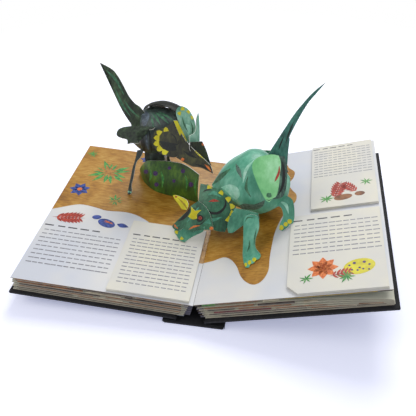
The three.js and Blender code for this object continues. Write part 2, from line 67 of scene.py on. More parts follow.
# Units, outlines and node helpers

def rgb(code: str) -> tuple[float, float, float, float]:
    """Turn an sRGB hex colour to Blender's linear colour.

    Args:
        code: Six hex digits after a hash sign.
    Returns:
        Linear red, green, blue and alpha 1.
    """
    parts = [int(code[i:i + 2], 16) / 255 for i in (1, 3, 5)]
    linear = [c / 12.92 if c <= 0.04045 else ((c + 0.055) / 1.055) ** 2.4 for c in parts]
    return linear[0], linear[1], linear[2], 1.0


def soften(points: Sequence[Point2], steps: int = 4, sharp: float = 62.0) -> Outline:
    """Round a closed outline with a Catmull-Rom curve, keeping its sharp corners.

    Args:
        points: Corner points in order.
        steps: Points drawn for each side.
        sharp: Turn in degrees from which a corner stays sharp.
    Returns:
        The finer closed outline.
    """
    n = len(points)
    turns = []
    for i in range(n):
        a, b, c = points[i - 1], points[i], points[(i + 1) % n]
        first = math.atan2(b[1] - a[1], b[0] - a[0])
        second = math.atan2(c[1] - b[1], c[0] - b[0])
        turns.append(abs((math.degrees(second - first) + 180) % 360 - 180) > sharp)
    out: Outline = []
    for i in range(n):
        p1, p2 = points[i], points[(i + 1) % n]
        p0 = p1 if turns[i] else points[i - 1]
        p3 = p2 if turns[(i + 1) % n] else points[(i + 2) % n]
        for k in range(steps):
            t = k / steps
            out.append(tuple(
                0.5 * (2 * p1[j] + (p2[j] - p0[j]) * t
                       + (2 * p0[j] - 5 * p1[j] + 4 * p2[j] - p3[j]) * t * t
                       + (3 * p1[j] - p0[j] - 3 * p2[j] + p3[j]) * t ** 3)
                for j in (0, 1)))
    return out


def circle(u: float, v: float, r: float, n: int = 14, squash: float = 1.0, turn: float = 0.0) -> Outline:
    """Draw a circle or an oval as a closed outline.

    Args:
        u: Centre across.
        v: Centre along.
        r: Half width.
        n: Points drawn.
        squash: Height over width.
        turn: Turn in degrees.
    Returns:
        The outline.
    """
    a = math.radians(turn)
    out = []
    for i in range(n):
        t = 2 * math.pi * i / n
        x, y = r * math.cos(t), r * squash * math.sin(t)
        out.append((u + x * math.cos(a) - y * math.sin(a), v + x * math.sin(a) + y * math.cos(a)))
    return out


def add_node(tree: bpy.types.NodeTree, kind: str, settings: dict[str, Any] | None = None,
             links: dict[str | int, Any] | None = None) -> bpy.types.Node:
    """Add a node with its settings and links.

    Args:
        tree: The tree that gets the node.
        kind: Node type name.
        settings: Attribute or input values; an input is named by its label or number.
        links: Input label or number to the output socket that feeds it.
    Returns:
        The new node.
    """
    node = tree.nodes.new(kind)
    for key, value in (settings or {}).items():
        if isinstance(key, str) and hasattr(node, key):
            setattr(node, key, value)
        else:
            node.inputs[key].default_value = value
    for key, socket in (links or {}).items():
        tree.links.new(socket, node.inputs[key])
    return node


def ramp(tree: bpy.types.NodeTree, source: Any, stops: Sequence[tuple[float, str]]) -> Any:
    """Map a 0 to 1 value through coloured stops.

    Args:
        tree: The material's tree.
        source: Output socket that gives the value.
        stops: Position and hex colour of each stop.
    Returns:
        The colour output socket.
    """
    node = add_node(tree, "ShaderNodeValToRGB", {}, {"Fac": source})
    band = node.color_ramp
    while len(band.elements) < len(stops):
        band.elements.new(0.5)
    for element, (place, code) in zip(band.elements, stops):
        element.position = place
        element.color = rgb(code)
    return node.outputs["Color"]


# Finishes

@dataclass(frozen=True)
class Finish:
    """A surface as its maker would name it."""

    name: str

    def shade(self, tree: bpy.types.NodeTree, place: Any, shader: bpy.types.Node) -> None:
        """Build the surface's nodes.

        Args:
            tree: The material's tree.
            place: Object coordinates output, in metres.
            shader: The Principled shader to feed.
        """
        raise NotImplementedError

    def material(self) -> bpy.types.Material:
        """Build the finish's material, once.

        Returns:
            The material.
        """
        ready = bpy.data.materials.get(self.name)
        if ready:
            return ready
        made = bpy.data.materials.new(self.name)
        made.use_nodes = True
        tree = made.node_tree
        tree.nodes.clear()
        place = add_node(tree, "ShaderNodeTexCoord").outputs["Object"]
        shader = add_node(tree, "ShaderNodeBsdfPrincipled")
        self.shade(tree, place, shader)
        add_node(tree, "ShaderNodeOutputMaterial", {}, {"Surface": shader.outputs[0]})
        return made


@dataclass(frozen=True)
class BookCloth(Finish):
    """Woven and starched book cloth: threads 0.8 mm apart, drawn at twice that so that they show."""

    dark: str = "#0b0b0d"
    light: str = "#1d1d21"
    thread: float = 1.6
    rough: float = 0.78

    def shade(self, tree: bpy.types.NodeTree, place: Any, shader: bpy.types.Node) -> None:
        """Cross two sets of thread ridges and rub the high ones lighter.

        Args:
            tree: The material's tree.
            place: Object coordinates output, in metres.
            shader: The Principled shader to feed.
        """
        warp = add_node(tree, "ShaderNodeTexWave", {"bands_direction": "X",
                                                    "Scale": 2.0 / (self.thread * MM) / 20,
                                                    "Distortion": 0.6}, {"Vector": place}).outputs["Fac"]
        weft = add_node(tree, "ShaderNodeTexWave", {"bands_direction": "Y",
                                                    "Scale": 2.0 / (self.thread * MM) / 20,
                                                    "Distortion": 0.6}, {"Vector": place}).outputs["Fac"]
        weave = add_node(tree, "ShaderNodeMath", {"operation": "MAXIMUM"}, {0: warp, 1: weft}).outputs[0]
        rub = add_node(tree, "ShaderNodeTexNoise", {"Scale": 22.0, "Detail": 4.0},
                       {"Vector": place}).outputs["Fac"]
        mixed = add_node(tree, "ShaderNodeMath", {"operation": "MULTIPLY"}, {0: weave, 1: rub}).outputs[0]
        tree.links.new(ramp(tree, mixed, [(0.15, self.dark), (0.75, self.light)]),
                       shader.inputs["Base Color"])
        bump = add_node(tree, "ShaderNodeBump", {"Strength": 0.35, "Distance": 0.0002}, {"Height": weave})
        tree.links.new(bump.outputs[0], shader.inputs["Normal"])
        shader.inputs["Roughness"].default_value = self.rough


@dataclass(frozen=True)
class CoatedCard(Finish):
    """White coated board, calendered smooth, with a faint cool and warm unevenness as it ages."""

    cool: str = "#d0d3d9"
    warm: str = "#dedcd5"
    rough: float = 0.42
    patch: float = 60.0

    def shade(self, tree: bpy.types.NodeTree, place: Any, shader: bpy.types.Node) -> None:
        """Drift slowly between cool and warm white, over a fine paper tooth.

        Args:
            tree: The material's tree.
            place: Object coordinates output, in metres.
            shader: The Principled shader to feed.
        """
        drift = add_node(tree, "ShaderNodeTexNoise", {"Scale": 1 / (self.patch * MM), "Detail": 2.0},
                         {"Vector": place}).outputs["Fac"]
        tree.links.new(ramp(tree, drift, [(0.35, self.cool), (0.65, self.warm)]), shader.inputs["Base Color"])
        tooth = add_node(tree, "ShaderNodeTexNoise", {"Scale": 900.0, "Detail": 3.0},
                         {"Vector": place}).outputs["Fac"]
        bump = add_node(tree, "ShaderNodeBump", {"Strength": 0.08, "Distance": 0.0001}, {"Height": tooth})
        tree.links.new(bump.outputs[0], shader.inputs["Normal"])
        shader.inputs["Roughness"].default_value = self.rough


@dataclass(frozen=True)
class PaintedCard(Finish):
    """Card printed from gouache painting: soft blotches and brush strokes under a thin gloss coat."""

    low: str = "#2a4a38"
    mid: str = "#3f7a5c"
    high: str = "#69ad86"
    blotch: float = 26.0
    stroke: float = 5.0
    stretch: tuple[float, float, float] = (1.0, 1.0, 0.28)
    turn: tuple[float, float, float] = (0.0, 0.5, 0.3)
    contrast: float = 0.5
    rough: float = 0.4

    def shade(self, tree: bpy.types.NodeTree, place: Any, shader: bpy.types.Node) -> None:
        """Lay blotches, then streaked strokes on top, and keep the coat slightly uneven.

        Args:
            tree: The material's tree.
            place: Object coordinates output, in metres.
            shader: The Principled shader to feed.
        """
        turned = add_node(tree, "ShaderNodeMapping", {"Rotation": self.turn, "Scale": self.stretch},
                          {"Vector": place}).outputs[0]
        blotch = add_node(tree, "ShaderNodeTexNoise", {"Scale": 1 / (self.blotch * MM), "Detail": 3.0,
                                                       "Roughness": 0.55, "Distortion": 0.4},
                          {"Vector": place}).outputs["Fac"]
        stroke = add_node(tree, "ShaderNodeTexNoise", {"Scale": 1 / (self.stroke * MM), "Detail": 5.0,
                                                       "Roughness": 0.65}, {"Vector": turned}).outputs["Fac"]
        value = add_node(tree, "ShaderNodeMix", {"data_type": "FLOAT", 0: self.contrast},
                         {2: blotch, 3: stroke}).outputs[0]
        colour = ramp(tree, value, [(0.36, self.low), (0.5, self.mid), (0.66, self.high)])
        tree.links.new(colour, shader.inputs["Base Color"])
        bump = add_node(tree, "ShaderNodeBump", {"Strength": 0.12, "Distance": 0.0002}, {"Height": stroke})
        tree.links.new(bump.outputs[0], shader.inputs["Normal"])
        shader.inputs["Roughness"].default_value = self.rough
        shader.inputs["Coat Weight"].default_value = 0.15
        shader.inputs["Coat Roughness"].default_value = 0.3


@dataclass(frozen=True)
class PrintInk(Finish):
    """Offset ink on coated card: even, with the sheet's own slight gloss."""

    low: str = "#3a3b40"
    high: str = "#55565c"
    grain: float = 3.0
    rough: float = 0.45

    def shade(self, tree: bpy.types.NodeTree, place: Any, shader: bpy.types.Node) -> None:
        """Vary the ink a little, as a painted original does.

        Args:
            tree: The material's tree.
            place: Object coordinates output, in metres.
            shader: The Principled shader to feed.
        """
        grain = add_node(tree, "ShaderNodeTexNoise", {"Scale": 1 / (self.grain * MM), "Detail": 3.0},
                         {"Vector": place}).outputs["Fac"]
        tree.links.new(ramp(tree, grain, [(0.35, self.low), (0.65, self.high)]), shader.inputs["Base Color"])
        shader.inputs["Roughness"].default_value = self.rough


class Look(Enum):
    """Every finish on the book."""

    CASE = BookCloth("starched_book_cloth")
    SPINE = BookCloth("starched_spine_cloth", dark="#08080a", light="#17171a")
    LEAF = CoatedCard("coated_card_leaf")
    LEAF_INNER = CoatedCard("inner_leaf_cream", cool="#c9c8b4", warm="#dad7bd", rough=0.55)
    # Leaf edges: the card's own edge tone, darkened brown-grey with painted shade from the gaps between the
    # leaves.
    LEAF_EDGE_AND_SHADE = CoatedCard("guillotined_card_edge", cool="#8d8377", warm="#a59987", rough=0.8, patch=9.0)
    BOOKLET = CoatedCard("uncoated_booklet_paper", cool="#d6d4cc", warm="#e0dccb", rough=0.6, patch=40.0)
    CUT = CoatedCard("cut_card_edge", cool="#d8d6cc", warm="#efece2", rough=0.85, patch=12.0)
    BARE = CoatedCard("unprinted_card_back", cool="#c9cac6", warm="#dcd8cc", rough=0.7, patch=30.0)
    ENDPAPER = CoatedCard("tinted_endpaper", cool="#7f8ba0", warm="#9aa5b4", rough=0.7)
    GROUND = PaintedCard("printed_ochre_ground", low="#85570f", mid="#b07c22", high="#caa04c", blotch=30.0,
                         stroke=3.2, stretch=(0.35, 1.6, 1.0), turn=(0.0, 0.0, 0.12), contrast=0.55)
    DARK_BODY = PaintedCard("gouache_print_dark_body", low="#1d2625", mid="#37443f", high="#5d7468",
                            blotch=24.0)
    DARK_TAIL = PaintedCard("gouache_print_dark_tail", low="#10160f", mid="#2c3a26", high="#4f6b46",
                            blotch=15.0, stroke=3.0)
    OLIVE = PaintedCard("gouache_print_olive", low="#17180d", mid="#33341c", high="#54562c", blotch=16.0,
                        stroke=3.0)
    PALE = PaintedCard("gouache_print_pale_green", low="#5b937a", mid="#86bd9f", high="#b4d9c4", blotch=16.0)
    MOUND = PaintedCard("gouache_print_leaf_green", low="#23401a", mid="#3f6a1c", high="#6f9a2c", blotch=24.0,
                        stroke=4.0)
    LEAFY_CARD = PaintedCard("gouache_print_young_leaf", low="#4f7d1e", mid="#7aa52e", high="#a8c84a",
                             blotch=12.0)
    SEA_DEEP = PaintedCard("gouache_print_deep_sea", low="#2c6a52", mid="#438a6c", high="#66ab8a",
                           blotch=24.0)
    SEA = PaintedCard("gouache_print_sea_green", low="#3f8a6c", mid="#58a888", high="#85cbab", blotch=34.0,
                      stroke=4.0, contrast=0.35)
    TAIL = PaintedCard("gouache_print_tail_green", low="#1f4a40", mid="#377063", high="#4f8f7c", blotch=12.0,
                       stroke=2.5)
    LIGHT = PaintedCard("gouache_print_light_green", low="#72c67b", mid="#90db92", high="#baf4bf",
                        blotch=30.0, stroke=4.0, contrast=0.3)
    RUMP = PaintedCard("gouache_print_striped_rump", low="#22342c", mid="#3c5a4c", high="#6f9a82",
                       blotch=10.0, stroke=2.6)
    HEAD = PaintedCard("gouache_print_deep_green", low="#1f4a34", mid="#2f6a4a", high="#4a8c66", blotch=16.0,
                       stroke=3.0)
    YELLOW = PrintInk("printed_yellow", low="#c9bd12", high="#e2d92a", grain=9.0)
    ORANGE = PrintInk("printed_orange", low="#c85a1c", high="#e8853a", grain=2.0)
    RED = PrintInk("printed_red", low="#8f2a1e", high="#c4472f", grain=2.5)
    BLUE = PrintInk("printed_blue", low="#1f2f6e", high="#3e58a8", grain=3.0)
    LEAFY = PrintInk("printed_leaf_green", low="#2f7d3c", high="#5fae4a", grain=3.0)
    BLACK = PrintInk("printed_black_green", low="#0c100d", high="#1b241d", grain=2.0)
    VIOLET = PrintInk("printed_violet", low="#33204f", high="#5a3a78", grain=2.0)
    SLATE = PrintInk("printed_slate", low="#39424a", high="#66757f", grain=5.0)
    HEAD_INK = PrintInk("printed_moss_stroke", low="#2f5a40", high="#4f8560", grain=4.0)
    SEA_INK = PrintInk("printed_sea_stroke", low="#3a7f63", high="#57a283", grain=4.0)
    PALE_INK = PrintInk("printed_pale_stroke", low="#86cbaa", high="#b2e2c9", grain=5.0)
    OCHRE_INK = PrintInk("printed_ochre_stroke", low="#8f7a10", high="#b89a1c", grain=3.0)
    STONE = PrintInk("printed_grey_stripe", low="#3d5a4c", high="#6a8474", grain=2.6)
    TEXT = PrintInk("printed_text_grey", low="#7d7d82", high="#97979a", grain=4.0)
    HEADING = PrintInk("printed_heading_grey", low="#3f4044", high="#5c5d60", grain=4.0)
    SPRIG = PrintInk("printed_sprig_tan", low="#9a6a2c", high="#c08a3c", grain=3.0)
    CREAM_FOLD = PrintInk("folded_card_cream", low="#a89c84", high="#c9bfa4", grain=8.0)
    BARK = PrintInk("folded_card_bark", low="#2e2520", high="#4f4238", grain=9.0)
    GUARD = CoatedCard("endpaper_guard_slate", cool="#5c5b69", warm="#767280", rough=0.7)
    HUMP = PaintedCard("gouache_print_hump", low="#0b0c08", mid="#171911", high="#2a2e1f", blotch=14.0,
                       rough=0.95)
    BROWN = PrintInk("folded_card_brown", low="#6a3d1c", high="#9a6232", grain=6.0)
    MAROON = PrintInk("folded_card_maroon", low="#4a1416", high="#6e2422", grain=6.0)

    @property
    def material(self) -> bpy.types.Material:
        """The finish's material."""
        return self.value.material()


# The two halves of the open book

@dataclass(frozen=True)
class Half:
    """One cover with its leaves: where its page lies at rest, and the joint that closes it."""

    side: int
    rise: float
    leaves: float
    inset: float
    body: str
    joint: str
    spine_w: float = 62.0
    lift: float = 7.0
    gap: float = 19.0
    board: float = 3.0
    page_w: float = 190.0
    page_h: float = 254.0

    @property
    def pivot(self) -> Point2:
        """Distance of the joint's pivot from the middle, and its height."""
        across = self.spine_w / 2 + self.lift
        return (across - self.gap + self.inset) / 2, (across + self.gap - self.inset) / 2

    @property
    def gutter(self) -> float:
        """Height of the page at the gutter line.

        Returns:
            Millimetres over the table.
        """
        px, pz = self.pivot
        a = math.radians(self.rise)
        return pz + (self.lift + self.board + self.leaves - pz - px * math.sin(a)) / math.cos(a)

    @property
    def normal(self) -> Vector:
        """The way the page faces."""
        a = math.radians(self.rise)
        return Vector((-self.side * math.sin(a), 0, math.cos(a)))

    @property
    def along(self) -> Vector:
        """The way from the gutter to the fore edge on the page."""
        a = math.radians(self.rise)
        return Vector((self.side * math.cos(a), 0, math.sin(a)))

    def page(self, u: float, v: float, w: float = 0.0) -> Vector:
        """Place a point given on the page.

        Args:
            u: Millimetres from the gutter towards the fore edge.
            v: Millimetres along the book from its middle to its head.
            w: Millimetres off the page.
        Returns:
            The point in metres.
        """
        a = math.radians(self.rise)
        x = u * math.cos(a) - w * math.sin(a)
        z = self.gutter + u * math.sin(a) + w * math.cos(a)
        return Vector((self.side * x, v, z)) * MM


FRONT = Half(-1, 2.84, 18.0, 18.0, "front_cover", "front_cover_hinge")
BACK = Half(1, 16.46, 21.5, 7.0, "back_cover", "back_cover_hinge")
BOOKLET_LIFT = 0.3
BOOKLET_THICK = 3.0
BOOKLET_CLEAR = 3.5
INK_CLEAR = 0.03
BOOKLET_PLACES = [(FRONT, 5, 90, -125, -17), (BACK, 115, 187, -1, 125), (BACK, 94, 187, -126, -10)]


@dataclass(frozen=True)
class Fold:
    """How a card lies when its cover is shut: degrees off the page, and millimetres over it at the gutter."""

    lean: float = 0.0
    over: float = 0.6


FLAT = Fold()
FRILL_FOLD = Fold(10.0, 0.6)
FACE_FOLD = Fold(6.0, 3.9)


def settle(piece: bpy.types.Object, half: Half, folds: bool = False) -> bpy.types.Object:
    """Fix a finished piece to its half of the book.

    Args:
        piece: The finished object.
        half: The half it belongs to.
        folds: True for card on a page that shuts; such a piece gets its own copy of its mesh.
    Returns:
        The same object.
    """
    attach(piece, half.body)
    if folds:
        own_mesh(piece)
    LOG.info("%s: %d faces on %s", piece.name, len(piece.data.polygons), half.body)
    return piece


def solid(name: str, verts: Sequence[Vector], faces: Sequence[Sequence[int]], looks: Sequence[Look],
          slots: Sequence[int] | None = None, smooth: float | None = 35.0) -> bpy.types.Object:
    """Make an object from points and faces.

    Args:
        name: The piece's name.
        verts: Points in metres.
        faces: Point numbers of each face.
        looks: Finishes, in slot order.
        slots: Slot number of each face, or none for the first.
        smooth: Edge angle in degrees under which faces blend, or none for flat faces.
    Returns:
        The new object, at the origin.
    """
    mesh = bpy.data.meshes.new(name)
    mesh.from_pydata([tuple(v) for v in verts], [], [tuple(f) for f in faces])
    for look in looks:
        mesh.materials.append(look.material)
    if slots:
        mesh.polygons.foreach_set("material_index", slots)
    mesh.validate()
    if smooth is not None:
        mesh.shade_smooth()
        mesh.set_sharp_from_angle(angle=math.radians(smooth))
    piece = bpy.data.objects.new(name, mesh)
    bpy.context.scene.collection.objects.link(piece)
    return piece


def face_outward(piece: bpy.types.Object) -> None:
    """Turn every face of closed shells outward.

    Args:
        piece: The object to mend.
    """
    shape = bmesh.new()
    shape.from_mesh(piece.data)
    bmesh.ops.recalc_face_normals(shape, faces=shape.faces)
    shape.to_mesh(piece.data)
    shape.free()


@dataclass
class Gather:
    """Collects flat pieces of print and card into one mesh."""

    verts: list[Vector] = field(default_factory=list)
    faces: list[list[int]] = field(default_factory=list)

    def slab(self, top: Sequence[Vector], bottom: Sequence[Vector]) -> None:
        """Add a thin slab.

        Args:
            top: Upper outline, anticlockwise seen from above.
            bottom: Lower outline, point for point under the upper one.
        """
        start, n = len(self.verts), len(top)
        self.verts += [*top, *bottom]
        self.faces.append([start + i for i in range(n)])
        self.faces.append([start + 2 * n - 1 - i for i in range(n)])
        for i in range(n):
            j = (i + 1) % n
            self.faces.append([start + j, start + i, start + n + i, start + n + j])

    def build(self, name: str, look: Look) -> bpy.types.Object:
        """Make one flat-faced object of what was gathered.

        Args:
            name: The piece's name.
            look: Its finish.
        Returns:
            The object.
        """
        piece = solid(name, self.verts, self.faces, [look], smooth=None)
        face_outward(piece)
        return piece


def anticlockwise(points: Sequence[Point2]) -> Outline:
    """Return the outline turned anticlockwise."""
    twice = sum(points[i - 1][0] * p[1] - p[0] * points[i - 1][1] for i, p in enumerate(points))
    return list(points) if twice > 0 else list(reversed(points))


# Case

@dataclass
class Case:
    """Three cloth-covered boards and the two cloth joints between them."""

    edge_round: float = 0.7

    def board(self, node: str, look: Look, body: str) -> None:
        """Round a board's edges and cover it with cloth.

        Args:
            node: The board's frame node.
            look: Its cloth.
            body: The body that it rides on.
        """
        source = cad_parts[node]
        piece = weld_copy(source, "cloth_" + node)
        bevel = piece.modifiers.new("rounded", "BEVEL")
        bevel.width = self.edge_round * MM
        bevel.segments = 3
        bevel.limit_method = "ANGLE"
        apply_modifiers(piece)
        piece.data.materials.clear()
        piece.data.materials.append(look.material)
        piece.data.shade_smooth()
        piece.data.set_sharp_from_angle(angle=math.radians(40))
        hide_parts(node)
        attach(piece, body)

    def joint(self, node: str, half: Half) -> None:
        """Dress the strip of joint cloth between the spine board and its cover in spine cloth.

        Args:
            node: The strip's frame node.
            half: The half whose cover it holds; not used.
        """
        piece = weld_copy(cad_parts[node], "woven_" + node)
        piece.data.materials.clear()
        piece.data.materials.append(Look.SPINE.material)
        piece.data.shade_smooth()
        piece.data.set_sharp_from_angle(angle=math.radians(50))
        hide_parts(node)
        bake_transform(piece)

    def build(self) -> None:
        """Cover the boards and hang the joints."""
        self.board("spine_board", Look.SPINE, "spine")
        self.board("front_board", Look.CASE, "front_cover")
        self.board("back_board", Look.CASE, "back_cover")
        self.joint("front_joint_cloth", FRONT)
        self.joint("back_joint_cloth", BACK)
        paint_node("endpaper_hinge", Look.ENDPAPER)


def weld_copy(source: bpy.types.Object, name: str) -> bpy.types.Object:
    """Copy a frame node's mesh with its loose triangles joined.

    Args:
        source: The frame node.
        name: The copy's name.
    Returns:
        The joined copy.
    """
    piece = bpy.data.objects.new(name, source.data.copy())
    bpy.context.scene.collection.objects.link(piece)
    shape = bmesh.new()
    shape.from_mesh(piece.data)
    bmesh.ops.remove_doubles(shape, verts=shape.verts, dist=2e-6)
    bmesh.ops.dissolve_limit(shape, angle_limit=math.radians(0.5), verts=shape.verts, edges=shape.edges)
    shape.to_mesh(piece.data)
    shape.free()
    return piece


def apply_modifiers(piece: bpy.types.Object) -> None:
    """Turn a piece's modifiers into mesh.

    Args:
        piece: The object with modifiers.
    """
    made = bpy.data.meshes.new_from_object(piece.evaluated_get(bpy.context.evaluated_depsgraph_get()))
    piece.modifiers.clear()
    piece.data = made


def paint_node(node: str, look: Look) -> None:
    """Give a frame node its finish.

    Args:
        node: The frame node.
        look: Its finish.
    """
    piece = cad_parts[node]
    piece.data.materials.clear()
    piece.data.materials.append(look.material)


# Leaves: height of each upper face at the fold, the middle and the fore edge, from the cover up

LEFT_LEAVES = [
    (-16.7, -16.7, -16.7), (-14.1, -14.2, -14.5), (-11.5, -11.7, -12.1), (-8.9, -9.0, -9.5),
    (-6.2, -6.3, -6.8), (-3.2, -3.2, -3.6), (0, 0, 0),
]
RIGHT_LEAVES = [
    (-19.7, -19.8, -20.0), (-17.0, -17.2, -18.9), (-14.2, -14.5, -17.8), (-11.4, -11.8, -16.7),
    (-8.6, -9.0, -15.6), (-5.4, -5.2, -14.4), (0, 0, 0),
]

# Slivers between the leaves: near, far, height, thickness, distance behind the edge, finish

LEFT_SLIVERS = [
    (12, 58, -1.3, 1.2, 0.7, Look.BROWN), (62, 126, -1.6, 1.1, 0.4, Look.BARK),
    (130, 186, -1.5, 1.4, 0.9, Look.BROWN), (12, 70, -4.5, 1.0, 0.5, Look.BARK),
    (74, 110, -4.4, 1.2, 0.2, Look.CREAM_FOLD), (114, 184, -4.8, 1.2, 0.8, Look.BROWN),
    (12, 90, -7.3, 1.0, 0.6, Look.BROWN), (96, 182, -7.6, 1.1, 0.4, Look.BARK),
    (12, 66, -9.9, 1.1, 0.4, Look.BARK), (72, 100, -10.0, 1.0, 0.1, Look.CREAM_FOLD),
    (104, 184, -10.3, 1.0, 0.7, Look.BROWN), (13, 120, -12.6, 1.0, 0.6, Look.BROWN),
    (126, 185, -12.9, 1.0, 0.4, Look.BARK), (14, 184, -15.3, 1.1, 0.5, Look.BARK),
]
RIGHT_SLIVERS = [
    (9, 22, -1.2, 0.7, -0.2, Look.LEAFY), (26, 66, -1.2, 0.8, 0.5, Look.BROWN),
    (70, 86, -1.2, 1.1, -0.3, Look.CREAM_FOLD), (92, 176, -0.95, 0.5, -0.1, Look.OCHRE_INK),
    (178, 189, -0.95, 0.6, -0.2, Look.BLACK), (96, 186, -1.9, 0.5, 0.6, Look.SLATE),
    (10, 60, -6.4, 1.1, 0.6, Look.BROWN), (64, 100, -6.5, 1.4, 0.3, Look.BARK),
    (108, 122, -7.4, 1.0, -0.3, Look.CREAM_FOLD), (12, 40, -9.4, 1.0, 0.4, Look.BARK),
    (44, 96, -9.6, 1.1, 0.5, Look.BROWN), (18, 76, -12.2, 1.5, 0.0, Look.MAROON),
    (80, 130, -12.6, 1.1, 0.4, Look.BROWN), (12, 110, -15.1, 1.1, 0.4, Look.BARK),
    (114, 180, -16.2, 0.9, 0.5, Look.BROWN), (24, 182, -17.9, 1.1, 0.3, Look.BARK),
]

# Heights of the guards that fold round the gutter

LEFT_GUARDS = (-1.7, -4.7, -7.4, -10.0, -12.7, -15.3)
RIGHT_GUARDS = (-2.6, -7.0, -9.9, -12.8, -15.6, -18.3)


@dataclass
class LeafBlock:
    """Stiff card leaves that fan from the gutter, each bent a little differently."""

    half: Half
    node: str
    heights: list[tuple[float, float, float]]
    start_u: float
    thick: float = 0.7
    seed: int = 3

    def height(self, i: int, u: float, v: float) -> float:
        """Height of a leaf's upper face.

        Args:
            i: Leaf, counted from the cover.
            u: Millimetres from the gutter.
            v: Millimetres along the book.
        Returns:
            Millimetres below (negative) the open page.
        """
        t = min(max(u / self.half.page_w, 0.0), 1.0)
        fold, middle, fore = self.heights[i]
        if t < 0.58:
            base = fold + (middle - fold) * t / 0.58
        else:
            base = middle + (fore - middle) * ((t - 0.58) / 0.42) ** 1.4
        if i == len(self.heights) - 1:
            return base
        return base + 0.22 * math.sin(3.1 * t + 1.9 * i + self.seed + 0.006 * v) * math.sin(math.pi * t)

    def leaf(self, i: int) -> tuple[list[Vector], list[list[int]], list[int]]:
        """Build one leaf as a bent card.

        Args:
            i: Leaf, counted from the cover.
        Returns:
            Points, faces and finish slot of each face.
        """
        along, across = 8, 30
        last = len(self.heights) - 1
        start = self.start_u if i == last else self.start_u + 1.2 + 0.9 * (last - i)
        end = self.half.page_w - (0 if i == last else 1.3 * math.sin(1.7 * i + self.seed) ** 2)
        half_h = self.half.page_h / 2 - (0 if i == last else 0.9 * math.sin(2.9 * i) ** 2)
        verts, faces, slots = [], [], []
        for side in (0, 1):
            for a in range(across + 1):
                u = start + (end - start) * (a / across)
                for b in range(along + 1):
                    v = -half_h + 2 * half_h * b / along
                    verts.append(self.half.page(u, v, self.height(i, u, v) - side * self.thick))
        row = along + 1
        layer = row * (across + 1)
        face_slot = 0 if i == last else 2
        for a in range(across):
            for b in range(along):
                q = [a * row + b, (a + 1) * row + b, (a + 1) * row + b + 1, a * row + b + 1]
                faces += [q, [layer + k for k in reversed(q)]]
                slots += [face_slot, 0]
        ring = [b for b in range(row)] + [a * row + along for a in range(1, across + 1)]
        ring += [across * row + b for b in range(along - 1, -1, -1)]
        ring += [a * row for a in range(across - 1, 0, -1)]
        # Cut edges take the leaf-edge finish, which carries painted shade.
        for k, p in enumerate(ring):
            q = ring[(k + 1) % len(ring)]
            faces.append([p, q, layer + q, layer + p])
            slots.append(1)
        return verts, faces, slots

    def build(self) -> None:
        """Build every leaf and stand the stack in for its frame node."""
        verts: list[Vector] = []
        faces: list[list[int]] = []
        slots: list[int] = []
        for i in range(len(self.heights)):
            v, f, s = self.leaf(i)
            faces += [[k + len(verts) for k in face] for face in f]
            verts += v
            slots += s
        piece = solid("card_" + self.node, verts, faces, [Look.LEAF, Look.LEAF_EDGE_AND_SHADE, Look.LEAF_INNER], slots,
                      smooth=30)
        face_outward(piece)
        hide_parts(self.node)
        settle(piece, self.half)


@dataclass
class GutterFold:
    """The last strip of the left page and the guards below, which tuck in as a cover closes."""

    wide: float = 3.0
    edge: float = 126.9
    ground_tail: float = -67.0
    guard_tail: float = -126.4
    guard_thick: float = 0.7

    def strip(self, name: str, half: Half, look: Look, span: Point2, tail: float, level: Point2) -> None:
        """Lay one strip beside the gutter.

        Args:
            name: The piece's name.
            half: The half it belongs to.
            look: Its finish.
            span: Its two long edges, from the gutter.
            tail: Its near end along the book.
            level: Heights of its upper and lower face.
        """
        ring = [(span[0], tail), (span[0], self.edge), (span[1], self.edge), (span[1], tail)]
        gather = Gather()
        gather.slab([half.page(u, v, level[0]) for u, v in ring],
                    [half.page(u, v, level[1]) for u, v in ring])
        piece = gather.build(name, look)
        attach(piece, half.body)
        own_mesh(piece)

    def build(self) -> None:
        """Lay the leaf's last strip, its print and the guards beside the gutter."""
        self.strip("gutter_fold", FRONT, Look.LEAF, (0.15, self.wide + 0.3), -self.edge, (-0.01, -0.68))
        self.strip("gutter_ground", FRONT, Look.GROUND, (0.15, self.wide), self.ground_tail, (0.11, 0.05))
        for i, depth in enumerate(LEFT_GUARDS):
            self.strip(f"gutter_guard_left_{i}", FRONT, Look.GUARD, (0.5 + 0.5 * i, 9.6),
                       self.guard_tail + 0.3 * (i % 3), (depth, depth - self.guard_thick))
        for i, depth in enumerate(RIGHT_GUARDS):
            self.strip(f"gutter_guard_right_{i}", BACK, Look.GUARD if i % 2 else Look.BARK,
                       (0.6 + 0.3 * i, 7.6), self.guard_tail + 0.3 * (i % 2),
                       (depth, depth - self.guard_thick))


@dataclass
class FoldedInside:
    """Folded figures of the closed spreads, which show as slivers between the leaves."""

    half: Half
    slivers: list[tuple[float, float, float, float, float, Look]]

    def build(self) -> None:
        """Tuck each sliver between two leaves."""
        by_look: dict[Look, Gather] = {}
        for near, far, depth, thick, recess, look in self.slivers:
            gather = by_look.setdefault(look, Gather())
            for end in (-1, 1):
                lip, back = end * (self.half.page_h / 2 - recess), end * (self.half.page_h / 2 - recess - 14)
                corners = anticlockwise([(near, lip), (far, lip), (far - 4, back), (near + 4, back)])
                gather.slab([self.half.page(u, v, depth) for u, v in corners],
                            [self.half.page(u, v, depth - thick) for u, v in corners])
        for look, gather in by_look.items():
            settle(gather.build(f"{self.half.body}_folded_{look.name.lower()}", look), self.half)


# Print on the pages

def ink(half: Half, shapes: Sequence[Sequence[Point2]], look: Look, name: str, height: float,
        thick: float = 0.06) -> None:
    """Lay printed shapes on a page.

    Args:
        half: The half whose page takes the print.
        shapes: Closed outlines in page millimetres.
        look: The ink.
        name: The piece's name.
        height: Millimetres above the open page.
        thick: Millimetres of ink, drawn thick enough to stay clear of the card.
    """
    gather = Gather()
    for outline in shapes:
        ring = anticlockwise(outline)
        gather.slab([half.page(u, v, height + thick) for u, v in ring],
                    [half.page(u, v, height) for u, v in ring])
    settle(gather.build(name, look), half)


